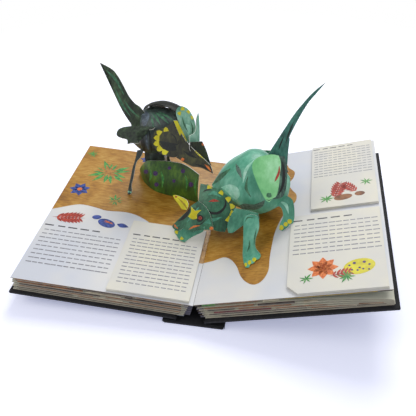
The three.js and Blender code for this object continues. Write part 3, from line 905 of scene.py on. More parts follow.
def text_tree() -> bpy.types.NodeTree:
    """Build the Geometry Nodes tree that sets a block of line bars.

    Returns:
        The tree, with its inputs named.
    """
    tree = bpy.data.node_groups.new("set_line_bars", "GeometryNodeTree")
    face = tree.interface
    face.new_socket("Geometry", in_out="OUTPUT", socket_type="NodeSocketGeometry")
    for name, kind, value in (("Lines", "Int", 6), ("Words", "Int", 9), ("Line Gap", "Float", 0.008),
                              ("Width", "Float", 0.09), ("Letter Height", "Float", 0.0018),
                              ("Thickness", "Float", 0.00006), ("Seed", "Int", 1), ("Ink", "Material", None)):
        socket = face.new_socket(name, in_out="INPUT", socket_type="NodeSocket" + kind)
        if value is not None:
            socket.default_value = value
    given = add_node(tree, "NodeGroupInput").outputs
    spare = add_node(tree, "ShaderNodeMath", {"operation": "SUBTRACT", 1: 1.0},
                     {0: given["Lines"]}).outputs[0]
    tall = add_node(tree, "ShaderNodeMath", {"operation": "MULTIPLY"},
                    {0: spare, 1: given["Line Gap"]}).outputs[0]
    grid = add_node(tree, "GeometryNodeMeshGrid", {}, {"Size X": given["Width"], "Size Y": tall,
                                                       "Vertices X": given["Words"],
                                                       "Vertices Y": given["Lines"]})
    pitch = add_node(tree, "ShaderNodeMath", {"operation": "DIVIDE"},
                     {0: given["Width"], 1: given["Words"]}).outputs[0]
    jitter = add_node(tree, "FunctionNodeRandomValue", {"data_type": "FLOAT", 2: -0.07, 3: 0.07},
                      {"Seed": given["Seed"]}).outputs[1]
    push = add_node(tree, "ShaderNodeMath", {"operation": "MULTIPLY"}, {0: jitter, 1: pitch}).outputs[0]
    offset = add_node(tree, "ShaderNodeCombineXYZ", {}, {"X": push}).outputs[0]
    moved = add_node(tree, "GeometryNodeSetPosition", {}, {"Geometry": grid.outputs[0],
                                                           "Offset": offset}).outputs[0]
    later = add_node(tree, "ShaderNodeMath", {"operation": "ADD", 1: 7.0}, {0: given["Seed"]}).outputs[0]
    share = add_node(tree, "FunctionNodeRandomValue", {"data_type": "FLOAT", 2: 0.74, 3: 1.02},
                     {"Seed": later}).outputs[1]
    wide = add_node(tree, "ShaderNodeMath", {"operation": "MULTIPLY"}, {0: share, 1: pitch}).outputs[0]
    size = add_node(tree, "ShaderNodeCombineXYZ", {}, {"X": wide, "Y": given["Letter Height"],
                                                       "Z": given["Thickness"]}).outputs[0]
    bar = add_node(tree, "GeometryNodeMeshCube", {"Size": (1, 1, 1)}).outputs[0]
    words = add_node(tree, "GeometryNodeInstanceOnPoints", {}, {"Points": moved, "Instance": bar,
                                                                "Scale": size}).outputs[0]
    real = add_node(tree, "GeometryNodeRealizeInstances", {}, {"Geometry": words}).outputs[0]
    inked = add_node(tree, "GeometryNodeSetMaterial", {}, {"Geometry": real,
                                                           "Material": given["Ink"]}).outputs[0]
    add_node(tree, "NodeGroupOutput", {}, {"Geometry": inked})
    return tree


def run_tree(name: str, tree: bpy.types.NodeTree, values: dict[str, Any]) -> bpy.types.Object:
    """Run a Geometry Nodes tree and keep its mesh.

    Args:
        name: The new object's name.
        tree: The tree to run.
        values: Input name to value.
    Returns:
        A plain mesh object.
    """
    piece = bpy.data.objects.new(name, bpy.data.meshes.new(name))
    bpy.context.scene.collection.objects.link(piece)
    modifier = piece.modifiers.new("nodes", "NODES")
    modifier.node_group = tree
    for item in tree.interface.items_tree:
        if item.item_type == "SOCKET" and item.in_out == "INPUT" and item.name in values:
            modifier[item.identifier] = values[item.name]
    apply_modifiers(piece)
    return piece


@dataclass
class TextBlock:
    """A block of generic line bars where the page carries words."""

    half: Half
    name: str
    near: float
    far: float
    head: float
    lines: int
    gap: float = 8.6
    words: int = 9
    height: float = 0.06
    letter: float = 2.0
    slot: str = "leaves"
    heading_words: int = 5
    heading_wide: float = 0.66
    heading_tall: float = 1.35

    def place(self, piece: bpy.types.Object, u: float, v: float) -> None:
        """Move a block of bars to its page.

        Args:
            piece: The bars, drawn round the origin.
            u: Centre from the gutter.
            v: Centre along the book.
        """
        for vert in piece.data.vertices:
            x, y, z = vert.co / MM
            vert.co = self.half.page(u + self.half.side * x, v + y, self.height + INK_CLEAR + z)
        face_outward(piece)
        settle(piece, self.half)

    def build(self, tree: bpy.types.NodeTree) -> None:
        """Set the heading and the lines.

        Args:
            tree: The tree that sets bars.
        """
        width = (self.far - self.near) * MM
        middle = (self.near + self.far) / 2
        bars = run_tree(self.name + "_heading", tree, {
            "Lines": 1, "Words": self.heading_words, "Width": width * self.heading_wide,
            "Letter Height": self.letter * self.heading_tall * MM, "Seed": 5, "Ink": Look.HEADING.material})
        spare = (self.far - self.near) * (1 - self.heading_wide) / 2
        self.place(bars, middle - self.half.side * spare, self.head)
        top = self.head - self.gap * 1.25
        bars = run_tree(self.name + "_lines", tree, {
            "Lines": self.lines, "Words": self.words, "Line Gap": self.gap * MM, "Width": width,
            "Letter Height": self.letter * MM, "Seed": len(self.name), "Ink": Look.TEXT.material})
        self.place(bars, middle, top - self.gap * (self.lines - 1) / 2)


def leaflet(u: float, v: float, length: float, turn: float, wide: float = 0.3) -> Outline:
    """Draw one lens-shaped leaf.

    Args:
        u: Foot from the gutter.
        v: Foot along the book.
        length: Millimetres long.
        turn: Direction in degrees.
        wide: Width over length.
    Returns:
        The outline.
    """
    a = math.radians(turn)
    c, s = math.cos(a), math.sin(a)
    shape = [(0, 0), (0.3, wide * 0.42), (0.62, wide * 0.4), (1, 0), (0.62, -wide * 0.4), (0.3, -wide * 0.42)]
    return soften([(u + length * (x * c - y * s), v + length * (x * s + y * c)) for x, y in shape], 3, 50)


def frond(u: float, v: float, length: float, turn: float, pairs: int = 6,
          leaf: float = 0.36) -> list[Outline]:
    """Draw a fern frond as a stalk and pairs of leaflets.

    Args:
        u: Foot from the gutter.
        v: Foot along the book.
        length: Millimetres from foot to tip.
        turn: Direction of growth in degrees.
        pairs: Pairs of leaflets.
        leaf: Leaflet length over the frond's length.
    Returns:
        Closed outlines in page millimetres.
    """
    a = math.radians(turn)
    shapes = [leaflet(u, v, length, turn, 0.055)]
    for i in range(pairs):
        s = length * (0.14 + 0.76 * i / pairs)
        reach = length * leaf * (0.45 + 0.55 * math.sin(math.pi * (0.2 + 0.75 * i / pairs)))
        for side in (-1, 1):
            shapes.append(leaflet(u + s * math.cos(a), v + s * math.sin(a), reach, turn + side * 48, 0.34))
    return shapes


def rosette(u: float, v: float, r: float, blades: int, seed: int) -> list[Outline]:
    """Draw a low plant as blades spread from one foot.

    Args:
        u: Foot from the gutter.
        v: Foot along the book.
        r: Longest blade.
        blades: Number of blades.
        seed: Seed of their lengths.
    Returns:
        Closed outlines in page millimetres.
    """
    dice = random.Random(seed)
    return [leaflet(u, v, r * dice.uniform(0.62, 1.0), 360 * i / blades + dice.uniform(-7, 7),
                    dice.uniform(0.19, 0.27))
            for i in range(blades)]


def bloom(u: float, v: float, r: float, petals: int = 6) -> list[Outline]:
    """Draw a flower of separate petals.

    Args:
        u: Centre from the gutter.
        v: Centre along the book.
        r: Radius.
        petals: Number of petals.
    Returns:
        Closed outlines in page millimetres.
    """
    return [leaflet(u, v, r, 360 * i / petals, 0.62) for i in range(petals)]


@dataclass
class PrintedSpread:
    """The printed pages: an ochre ground across the gutter, plants and shells, and blocks of line bars."""

    layer: float = 0.05
    edge_u: float = 189.8
    edge_v: float = 126.8

    def ground(self) -> None:
        """Print the ochre ground on both pages."""
        top = self.edge_v
        left = [(190, top), (190, -14), (180, -8), (161, 1.5), (141, 0), (127, -3), (106, -1), (92, -3),
                (79, -9), (68, -17), (56, -29), (41, -40), (28, -50), (16, -59), (5, -66), (3.0, -67),
                (3.0, top)]
        right = [(0.2, top), (0.2, -67), (11, -65), (22, -61), (31, -66), (39, -78), (44, -91), (51, -101),
                 (60, -106), (68, -101), (73, -88), (73, -70), (74, -48), (76, -28), (81, -8), (88, 9),
                 (96, 21), (97, 34), (91, 46), (87, 58), (92, 70), (93, 82), (86, 92), (82, 101), (71, 108),
                 (52, top)]
        for half, edge, low, name in ((FRONT, left, 3.0, "left"), (BACK, right, 0.2, "right")):
            clipped = [(max(min(u, self.edge_u), low), max(min(v, top), -top)) for u,
                       v in soften(edge, 4, 70)]
            ink(half, [clipped], Look.GROUND, f"printed_ground_{name}", self.layer)

    def plants(self) -> None:
        """Print low plants, blooms, shells and pebbles of plain design."""
        up = self.layer + 0.09
        ink(FRONT, rosette(146, 72, 29, 13, 4) + rosette(122, 17, 13, 9, 8) + rosette(180, 108, 9, 8, 2),
            Look.LEAFY, "printed_plants_left", up)
        ink(FRONT, rosette(146, 72, 19, 11, 9) + rosette(122, 17, 7, 7, 3), Look.SPRIG,
            "printed_blades_left", up + 0.08)
        ink(FRONT, bloom(171, 30, 13, 7) + bloom(106, 112, 9, 6), Look.BLUE, "printed_blooms_left", up)
        ink(FRONT, [circle(171, 30, 3.2), circle(106, 112, 2.2)], Look.ORANGE, "printed_bloom_hearts",
            up + 0.08)
        ink(FRONT, frond(184, -27, 38, 172, 7, 0.36), Look.RED, "printed_sprigs_left", up)
        ink(FRONT, [circle(120, -25, 11, 20, 0.6, 20), circle(134, -17, 5.4, 14, 0.7, -10),
                    leaflet(108, -24, 15, 190, 0.5)], Look.BLUE, "printed_shells_left", up)
        ink(FRONT, [leaflet(112, -25.5, 13, 24, 0.16), leaflet(113, -23.5, 11, 2, 0.16)], Look.ORANGE,
            "printed_shell_ribs", up + 0.08)
        ink(BACK, [circle(84, 66, 2.6, squash=0.7), circle(80, 58, 1.7), circle(86, 50, 2.0)], Look.BROWN,
            "printed_pebbles_right", up)

    def booklet_art(self) -> None:
        """Print plants and pebbles on the booklets."""
        top = BOOKLET_LIFT + BOOKLET_THICK + INK_CLEAR
        ink(BACK, frond(140, 12, 34, 74, 7) + frond(166, 20, 26, 128, 6), Look.RED, "printed_sprigs_upper",
            top)
        ink(BACK, [circle(150, 14, 10, 22, 0.5, 8), circle(168, 17, 5.5, 16, 0.7)], Look.BROWN,
            "printed_stones_upper", top)
        ink(BACK, rosette(132, 14, 10, 8, 5) + rosette(176, 38, 8, 7, 6), Look.LEAFY, "printed_ferns_upper",
            top + 0.08)
        ink(BACK, [circle(162, -97, 15, 26, 0.68, 12)], Look.YELLOW, "printed_pebble_large", top)
        ink(BACK, bloom(128, -95, 15, 8), Look.ORANGE, "printed_bloom_lower", top)
        ink(BACK, frond(134, -107, 24, 12, 5), Look.RED, "printed_sprig_lower", top + 0.08)
        ink(BACK, [circle(153 + 4.6 * i, -95 + 4.0 * math.sin(2.4 * i), 1.2 + 0.4 * (i % 2),
                          8) for i in range(5)]
            + [circle(155 + 5.2 * i, -101 - 1.2 * (i % 2), 1.1, 8) for i in range(4)], Look.VIOLET,
            "printed_pebble_spots", top + 0.08)
        ink(BACK, rosette(150, -109, 11, 9, 7) + rosette(112, -108, 8, 7, 5), Look.LEAFY,
            "printed_ferns_lower", top + 0.16)

    def words(self) -> None:
        """Set every block of line bars."""
        tree = text_tree()
        paper = BOOKLET_LIFT + BOOKLET_THICK + INK_CLEAR
        blocks = [
            TextBlock(FRONT, "left_page_text", 99, 182, -41, 9, gap=6.5, words=13, letter=1.35),
            TextBlock(FRONT, "left_booklet_text", 13, 80, -40, 13, gap=5.5, words=11, height=paper,
                      letter=1.25, slot="booklet"),
            TextBlock(BACK, "upper_booklet_text", 120, 182, 119, 11, gap=5.3, words=12, height=paper,
                      letter=1.0, slot="booklet"),
            TextBlock(BACK, "lower_booklet_text", 101, 181, -19, 8, gap=6.4, words=12, height=paper,
                      letter=1.3, slot="booklet"),
        ]
        for block in blocks:
            block.build(tree)

    def build(self) -> None:
        """Print the whole spread."""
        self.ground()
        self.plants()
        self.booklet_art()
        self.words()


# Folded card figures

@dataclass(frozen=True)
class View:
    """The photograph's camera, which places small marks on the card they lie on."""

    azimuth: float = 9.128
    elevation: float = 38.578
    distance: float = 674.9
    focal: float = 559.54
    target: tuple[float, float, float] = (-10.045, 28.226, 27.5)
    frame_px: float = 416.0

    @property
    def back(self) -> Vector:
        """The way from the target to the camera."""
        a, e = math.radians(self.azimuth), math.radians(self.elevation)
        return Vector((math.sin(a) * math.cos(e), -math.cos(a) * math.cos(e), math.sin(e)))

    @property
    def place(self) -> Vector:
        """The camera's place in metres."""
        return (Vector(self.target) + self.back * self.distance) * MM

    def ray(self, x: float, y: float) -> Vector:
        """Direction through a point of the picture.

        Args:
            x: Pixels from the left.
            y: Pixels from the top.
        Returns:
            Unit direction.
        """
        forward = -self.back
        right = forward.cross(Vector((0, 0, 1))).normalized()
        up = right.cross(forward)
        half = self.frame_px / 2
        return (forward * self.focal + right * (x - half) - up * (y - half)).normalized()


VIEW = View()
CARDS: dict[str, BVHTree] = {}


@dataclass(frozen=True)
class Surface:
    """Where a card stands in millimetres, which way it faces in degrees, and how it bends per millimetre."""

    at: tuple[float, float, float]
    azimuth: float
    elevation: float
    roll: float
    bend_u: float
    bend_v: float

    @property
    def axes(self) -> tuple[Vector, Vector, Vector]:
        """Work out the card's own directions.

        Returns:
            Across the card, up the card, and out of its face.
        """
        a, e, r = (math.radians(d) for d in (self.azimuth, self.elevation, self.roll))
        out = Vector((math.sin(a) * math.cos(e), -math.cos(a) * math.cos(e), math.sin(e)))
        across = Vector((0, 0, 1)).cross(out).normalized()
        up = out.cross(across)
        return across * math.cos(r) + up * math.sin(r), up * math.cos(r) - across * math.sin(r), out

    def point(self, u: float, v: float, w: float) -> Vector:
        """Place a point given on the flat card.

        Args:
            u: Millimetres across.
            v: Millimetres up.
            w: Millimetres off the face.
        Returns:
            The point in metres.
        """
        across, up, out = self.axes
        (x, dip), (y, sag) = (arc(self.bend_u, u), arc(self.bend_v, v))
        lean_u, lean_v = self.bend_u * u, self.bend_v * v
        facing = (across * math.sin(lean_u) + up * math.sin(lean_v)
                  + out * math.cos(lean_u) * math.cos(lean_v)).normalized()
        return (Vector(self.at) + across * x + up * y - out * (dip + sag) + facing * w) * MM


# Cards: where each stands, and its outline cut flat, in millimetres

SHEETS: dict[str, tuple[Surface, Outline]] = {
    "rear_tail": (Surface((-118, 72, 143), -6, 18, 0, 0, 0), [
        (-28.5, 37), (-21, 34.5), (-12, 30.5), (-5.5, 24), (1, 14.5), (8, 3.5), (15.5, -4),
        (24.5, -9.5), (35.5, -26), (27.5, -46.5), (14.5, -37.5), (12, -29.5), (6, -22),
        (-0.5, -13), (-7.5, -1), (-13, 11.5), (-16, 22), (-23.5, 31.5)]),
    "rear_hind_foot": (Surface((-103, 36, 117), -12, 66, 0, 0, 0), [
        (-12.5, -5), (-14.5, 1), (-12.5, 5.5), (-7, 9), (1.5, 12), (13.5, 14.5), (27, 16),
        (24.5, 12.5), (12.5, 8), (9, 3), (12, -2.5), (16.5, -9.5), (9, -10.5), (4.5, -13),
        (1.5, -7.5), (-5.5, -7)]),
    "rear_fore_leg": (Surface((-106, 42, 53), -25, 25, 0, 0, 0), [
        (-0.2, 34), (8.9, 38), (6.5, 27.5), (2.3, 20), (1.9, 12), (2.3, -0.5), (1.9, -10), (4, -15.5),
        (4, -20), (1.2, -22.5), (-1.2, -22), (-1.6, -14), (-1.6, -1.5), (-1.6, 11.5), (-0.5, 21)]),
    "rear_frill_left": (Surface((-53, 30, 120), -22, 30, 0, 0.01, 0), [
        (-22.5, 3), (-16.5, 6.5), (-8.5, 11), (-5, 15), (0.5, 19.5), (9.5, 11), (19.5, 1),
        (18.5, -8), (12.5, -18), (3, -20), (-1, -19.5), (-6.5, -20.5), (-15, -16.5),
        (-23, -11.5), (-24.5, -3.5)]),
    "rear_face_left": (Surface((-38.6, 19.6, 112.8), -25, 22, 0, 0.008, 0), [
        (-10.5, 1), (4.5, 11.5), (12.5, 6.5), (23.5, 1.5), (30, -2), (35, -4.5), (39, -8),
        (42.5, -14.5), (35, -13), (29, -12), (23, -12.5), (17, -13.5), (6, -12), (-2, -10.5),
        (-9.5, -9)]),
    "rear_trim": (Surface((-42.4, 30.8, 130.1), 20, 20, 0, 0, 0), [
        (-5.5, 12), (-1.5, 11.5), (3, 0.5), (7.5, -11.5), (4.5, -14.5), (-0.5, -3.5)]),
    "rear_frill_right": (Surface((-37, 46, 133), 14, 30, 0, 0.012, 0), [
        (-10, 15.5), (-5, 18), (2, 14.5), (6, 8.5), (9, 0.5), (9.5, -10.5), (6, -20), (0, -24.5),
        (-3.5, -13), (-7, -5.5), (-10, 3.5), (-11.5, 10)]),
    "rear_frill_edge": (Surface((-24, 42, 129), 58, 20, 0, 0, 0), [
        (7, 15.5), (5, 6), (-2, -13), (-7.5, -21), (-18.5, -15), (-15.5, -3), (-5, -2),
        (1.5, 10)]),
    "rear_face_right": (Surface((-16, 24, 110), 46, 25, 0, 0, 0), [
        (-11.5, 15), (3.5, 11), (5.5, 0.5), (6, -7), (6.5, -19), (-1.5, -13), (-9, -2),
        (-14.5, 7)]),
    "front_tail": (Surface((83, 22, 154), 4, 16, 0, 0, 0), [
        (26.5, 45.5), (17, 32.5), (10, 22.5), (2, 6), (-5, -11.5), (-5, -16), (-5.5, -30.5),
        (-5.5, -43.5), (-8.5, -58.5), (-22.5, -59.5), (-28, -39.5), (-24, -28.5), (-18.5, -18),
        (-11, -4), (-3, 10.5), (5.5, 23), (15, 35)]),
    "front_haunch": (Surface((58, -27, 120), 6, 38, 0, 0.01, 0.008), [
        (-14, 11.5), (-11.5, 17), (-6, 20.5), (5, 23), (12.5, 22), (15, 14), (14, 0),
        (13.5, -9.5), (11.5, -19), (7.5, -22), (5, -25.5), (1, -23.5), (-5, -14), (-9.5, -4.5),
        (-13, 4.5)]),
    "front_rump": (Surface((72, -14, 113), 46, 28, 0, 0.012, 0), [
        (0, 23.5), (13, 17), (13, 6), (6, -10.5), (-1, -20), (-8, -21.5), (-16, -19),
        (-11.5, 0.5), (-5, 17.5)]),
    "front_hind_foot": (Surface((78, -15, 73), 10, 36, 0, 0, 0), [
        (-22, 19.5), (-11, 19), (2.5, 13.5), (9.5, 10), (12.5, 2.5), (13, -9.5), (11.5, -17),
        (8, -18), (5.5, -21), (2, -21.5), (0, -25), (-3.5, -23.5), (-2.5, -17), (0.5, -10.5),
        (0, -3), (-3.5, 1.5), (-13.5, 2)]),
    "front_shoulder": (Surface((35, -42, 74), -20, 30, 0, 0.014, 0.01), [
        (-8, 9.2), (4, 11), (17, 11.5), (20, 6), (13, 2), (7, -3.5), (1, -11), (-4, -17), (-9, -19),
        (-12, -12), (-11, 0)]),
    "front_fore_leg": (Surface((49, -55, 58), 0, 28, 0, 0.012, 0), [
        (-9.5, 20.5), (-6.5, 25.5), (-0.5, 27), (5, 24.5), (7, 13.5), (4.5, 1.5), (5.5, -8),
        (11, -14.5), (10.5, -19), (7, -21.5), (5, -24.5), (1.5, -26.5), (0.5, -30), (-3, -30.5),
        (-5.5, -26), (-7.5, -17), (-8, -5.5), (-9, 9)]),
    "front_frill": (Surface((7, -20, 69), -4, 42, 0, 0.012, 0.006), [
        (-22.5, 23.5), (-16.5, 23), (-13, 23.5), (-9.5, 21), (-2.5, 20), (2.5, 19.5),
        (5.5, 16.5), (9.5, 14), (14, 13), (15, 9), (17.5, 5.5), (21, 4), (20.5, 0), (22.5, -3.5),
        (20, -7), (20, -11), (16.5, -13), (15, -19.5), (13, -25.5), (2.5, -25.5), (-9, -20),
        (-17.5, -10), (-21, 1.5), (-22, 14)]),
    "front_face": (Surface((-14.6, -28.7, 55), -20, 36, 0, 0.008, 0), [
        (-2, 20.5), (7.5, 17), (15.5, 9.5), (23, -4), (12, -7.5), (5, -10.5), (-2, -14),
        (-11.5, -13.5), (-17, -18.5), (-24, -18), (-26.5, -16), (-24, -11), (-18, -1.5),
        (-12.5, 7), (-10.5, 12.5), (-5, 19)]),
    "front_jaw": (Surface((-20.4, -35.3, 40.9), -20, 30, 0, 0, 0), [
        (-18.5, 2), (-10, 7), (-1, 7), (7, 9), (16, 13), (15, 6.5), (6, -1.5), (1, -7),
        (-3, -12), (-9, -12), (-14.5, -8), (-18.5, -4.5)]),
    "front_nose_horn": (Surface((-30.7, -15.1, 64.7), -24, 32, 0, 0, 0), [
        (-16, 4.5), (-11.3, 6.4), (2.3, 5.6), (6.6, 0.5), (5.8, -5), (0, -5.8), (-5, -2.6), (-11.3, 0.8)]),
    "front_brow_horn": (Surface((-16.6, -24.8, 61.4), -6, 36, 0, 0, 0), [
        (-6.5, -5), (-4, 0.5), (-5, 6.5), (0.5, 2.6), (7.5, 4.8), (3.4, -0.6), (4, -5.5), (-1, -7.2)]),
    "rear_far_leg": (Surface((-78, 97, 66), 176, 12, 4, 0.01, 0), [
        (-10, 34), (10, 34), (13, 22), (9, 6), (8, -14), (12, -22), (11, -40), (-9, -40), (-10, -30),
        (-7, -20), (-8, -4), (-13, 12), (-13, 24)]),
    "front_far_leg": (Surface((58, 47, 74), 178, 8, -4, 0.01, 0), [
        (-10, 34), (10, 34), (13, 22), (9, 6), (8, -14), (12, -22), (11, -40), (-9, -40), (-10, -30),
        (-7, -20), (-8, -4), (-13, 12), (-13, 24)]),
}
MOUND_FOOT = [(-106, 79), (-97, 62), (-80, 47), (-62, 42), (-42, 40), (-23, 35)]
MOUND_HEAD = [(-101, 76), (-92, 66), (-76, 58), (-58, 54), (-40, 48), (-22, 38)]
MOUND_TALL = [17, 30, 38, 42, 44, 40]
SCRAP_FOOT = [(-20, 40), (-14, 44), (-7, 46)]
SCRAP_TALL = [14, 18, 12]

# Body shells: centre and radius of each ring, in millimetres

REAR_RINGS = [(-106, 70, 107, 4), (-102, 70, 103, 16), (-94, 71, 102, 25), (-82, 71, 104, 27),
              (-68, 69, 108, 25), (-53, 64, 112, 20), (-42, 58, 113, 10)]
HUMP_RINGS = [(-86, 70, 108, 25.6), (-78, 70, 110, 28.5), (-68, 68, 112, 29.5), (-57, 65, 114, 26),
              (-46, 60, 115, 18)]
FRONT_RINGS = [(0, 8, 69, 8), (11, 11, 72, 18), (28, 13, 79, 29.5), (45, 12, 84, 36.5), (63, 13, 90, 32),
               (75, 16, 95, 19), (80, 17, 98, 6)]


def arc(bend: float, s: float) -> Point2:
    """Distance along and off a straight line after a run on an arc.

    Args:
        bend: Radians turned per millimetre.
        s: Millimetres run.
    Returns:
        Millimetres along and off.
    """
    return (s, 0.0) if abs(bend) < 1e-9 else (math.sin(bend * s) / bend, (1 - math.cos(bend * s)) / bend)


def spline(points: Sequence[Sequence[float]], t: float) -> Vector:
    """Point of a Catmull-Rom curve through rows of numbers.

    Args:
        points: Rows of equal length.
        t: Place from 0 to 1.
    Returns:
        The row at that place.
    """
    s = min(max(t, 0.0), 1.0) * (len(points) - 1)
    i = min(int(s), len(points) - 2)
    f = s - i
    a, b, c, d = (Vector(points[min(max(k, 0), len(points) - 1)]) for k in range(i - 1, i + 3))
    return 0.5 * (2 * b + (c - a) * f + (2 * a - 5 * b + 4 * c - d) * f * f + (3 * b - a - 3 * c + d)
                  * f ** 3)


def clear_page(spot: Vector, floor: float) -> Vector:
    """Keep a point of card off the pages and booklets, without moving it in the picture.

    Args:
        spot: The point in metres.
        floor: Least millimetres off the page.
    Returns:
        The point, drawn towards the camera if it lay too low.
    """
    half = FRONT if spot.x < 0 else BACK
    off = (spot - half.page(0, 0, 0)).dot(half.normal) / MM
    u = (spot - half.page(0, 0, 0)).dot(half.along) / MM
    over = any(near - 2 < u < far + 2 and tail - 2 < spot.y / MM < head + 2
               for owner, near, far, tail, head in BOOKLET_PLACES if owner is half)
    least = floor + (BOOKLET_CLEAR if over else 0.0)
    if off >= least:
        return spot
    line = (spot - VIEW.place).normalized()
    return spot + line * ((least - off) * MM / line.dot(half.normal))


def flat_mesh(outline: Outline, step: float) -> bmesh.types.BMesh:
    """Fill an outline with triangles no longer than a step.

    Args:
        outline: Closed outline.
        step: Longest edge.
    Returns:
        The flat mesh.
    """
    flat = bmesh.new()
    flat.faces.new([flat.verts.new((x, y, 0)) for x, y in anticlockwise(outline)])
    bmesh.ops.triangulate(flat, faces=flat.faces)
    for _ in range(6):
        long = [e for e in flat.edges if e.calc_length() > step]
        if not long:
            break
        bmesh.ops.subdivide_edges(flat, edges=long, cuts=1)
        bmesh.ops.triangulate(flat, faces=flat.faces)
    return flat


def card_object(name: str, flat: bmesh.types.BMesh, top: Callable[[float, float], Vector],
                low: Callable[[float, float], Vector], looks: Sequence[Look]) -> bpy.types.Object:
    """Give a flat mesh its two sides and its cut edge.

    Args:
        name: The piece's name.
        flat: The filled outline; it is freed.
        top: Places a point of the upper side.
        low: Places a point of the lower side.
        looks: Finish of the face, the cut edge and the back.
    Returns:
        The card.
    """
    flat.verts.ensure_lookup_table()
    flat.verts.index_update()
    count = len(flat.verts)
    verts = [top(v.co.x, v.co.y) for v in flat.verts] + [low(v.co.x, v.co.y) for v in flat.verts]
    faces = [[v.index for v in f.verts] for f in flat.faces]
    slots = [0] * len(faces)
    faces += [[v.index + count for v in reversed(f.verts)] for f in flat.faces]
    slots += [2] * len(flat.faces)
    for edge in flat.edges:
        if len(edge.link_faces) == 1:
            loop = next(l for l in edge.link_faces[0].loops if l.edge == edge)
            a, b = loop.vert.index, loop.link_loop_next.vert.index
            faces.append([b, a, a + count, b + count])
            slots.append(1)
    flat.free()
    return solid(name, verts, faces, looks, slots, smooth=40)


@dataclass
class CardSheet:
    """One cut and printed card of a figure, bent in its hinge line, with white cut edges."""

    node: str
    half: Half
    look: Look
    slot: str
    back: Look | None = None
    fold: Fold = FLAT
    sharp: float = 58.0
    step: float = 4.0
    thick: float = 0.8

    def build(self) -> bpy.types.Object:
        """Cut the card, bend it and fix it to its half of the book.

        Returns:
            The dressed card.
        """
        surface, outline = SHEETS[self.node]
        flat = flat_mesh(soften(outline, 4, self.sharp), self.step)
        lift = self.thick / 2
        piece = card_object("card_" + self.node, flat,
                            lambda u, v: clear_page(surface.point(u, v, lift), 0.35 + self.thick),
                            lambda u, v: clear_page(surface.point(u, v, -lift), 0.35),
                            [self.look, Look.CUT, self.back or self.look])
        keep_tree(self.node, piece)
        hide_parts(self.node)
        return settle(piece, self.half, folds=True)


def keep_tree(name: str, piece: bpy.types.Object) -> None:
    """Remember a card's surface, so that marks can be laid on it."""
    mesh = piece.data
    CARDS[name] = BVHTree.FromPolygons([v.co for v in mesh.vertices], [p.vertices for p in mesh.polygons])


@dataclass
class BodyShell:
    """A card wrapped over the back of a figure, open at the belly."""

    name: str
    half: Half
    rings: list[tuple[float, float, float, float]]
    start: float
    end: float
    looks: tuple[Look, Look]
    slot: str
    node: str | None = None
    thick: float = 0.8
    rim: Look = Look.CUT

    def place(self, s: float, t: float, w: float) -> Vector:
        """Place a point of the shell.

        Args:
            s: Place along the body, 0 to 1.
            t: Place round the body, 0 to 1.
            w: Millimetres off the card's middle.
        Returns:
            The point in metres.
        """
        row = spline(self.rings, s)
        run = (spline(self.rings, min(s + 0.02, 1.0)) - spline(self.rings,
                                                               max(s - 0.02, 0.0))).to_3d().normalized()
        near = Vector((run.y, -run.x, 0)).normalized()
        near = -near if near.y > 0 else near
        up = run.cross(near).normalized()
        up = -up if up.z < 0 else up
        a = math.radians(self.start + (self.end - self.start) * t)
        reach = max(row[3], 1.0) + w
        return (Vector(row[:3]) + near * (reach * math.cos(a)) + up * (reach * math.sin(a))) * MM

    def build(self) -> bpy.types.Object:
        """Wrap the shell.

        Returns:
            The dressed shell.
        """
        flat = bmesh.new()
        bmesh.ops.create_grid(flat, x_segments=30, y_segments=30, size=0.5)
        piece = card_object("card_" + self.name, flat,
                            lambda x, y: clear_page(self.place(x + 0.5, y + 0.5, self.thick / 2), 1.2),
                            lambda x, y: clear_page(self.place(x + 0.5, y + 0.5, -self.thick / 2), 0.4),
                            [self.looks[0], self.rim, self.looks[1]])
        face_outward(piece)
        keep_tree(self.name, piece)
        if self.node:
            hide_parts(self.node)
        return settle(piece, self.half, folds=True)


@dataclass
class StandingCard:
    """A card that stands on the page on a curved foot line, such as the mound."""

    node: str
    half: Half
    foot: list[Point2]
    head: list[Point2]
    tall: list[float]
    look: Look
    slot: str
    bulge: float = 2.5

    def place(self, s: float, t: float, w: float) -> Vector:
        """Place a point of the card.

        Args:
            s: Place along the foot, 0 to 1.
            t: Place from foot to head, 0 to 1.
            w: Millimetres off the card's middle, towards the tail of the book.
        Returns:
            The point in metres.
        """
        foot, head = spline(self.foot, s), spline(self.head, s)
        tall = spline([(v, 0.0) for v in self.tall], s)[0]
        run = (spline(self.foot, min(s + 0.02, 1.0)) - spline(self.foot, max(s - 0.02, 0.0))).normalized()
        out = Vector((run.y, -run.x)) * (w + self.bulge * math.sin(math.pi * t))
        spot = foot.lerp(head, t) + out
        base = self.half.gutter + abs(spot.x) * math.tan(math.radians(self.half.rise))
        return Vector((spot.x, spot.y, base + 0.4 + tall * t)) * MM

    def build(self) -> bpy.types.Object:
        """Cut and stand the card.

        Returns:
            The dressed card.
        """
        flat = bmesh.new()
        bmesh.ops.create_grid(flat, x_segments=26, y_segments=8, size=0.5)
        piece = card_object("card_" + self.node, flat, lambda x, y: self.place(x + 0.5, y + 0.5, 0.4),
                            lambda x, y: self.place(x + 0.5, y + 0.5, -0.4), [self.look, Look.CUT, Look.BARE])
        keep_tree(self.node, piece)
        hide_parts(self.node)
        return settle(piece, self.half, folds=True)


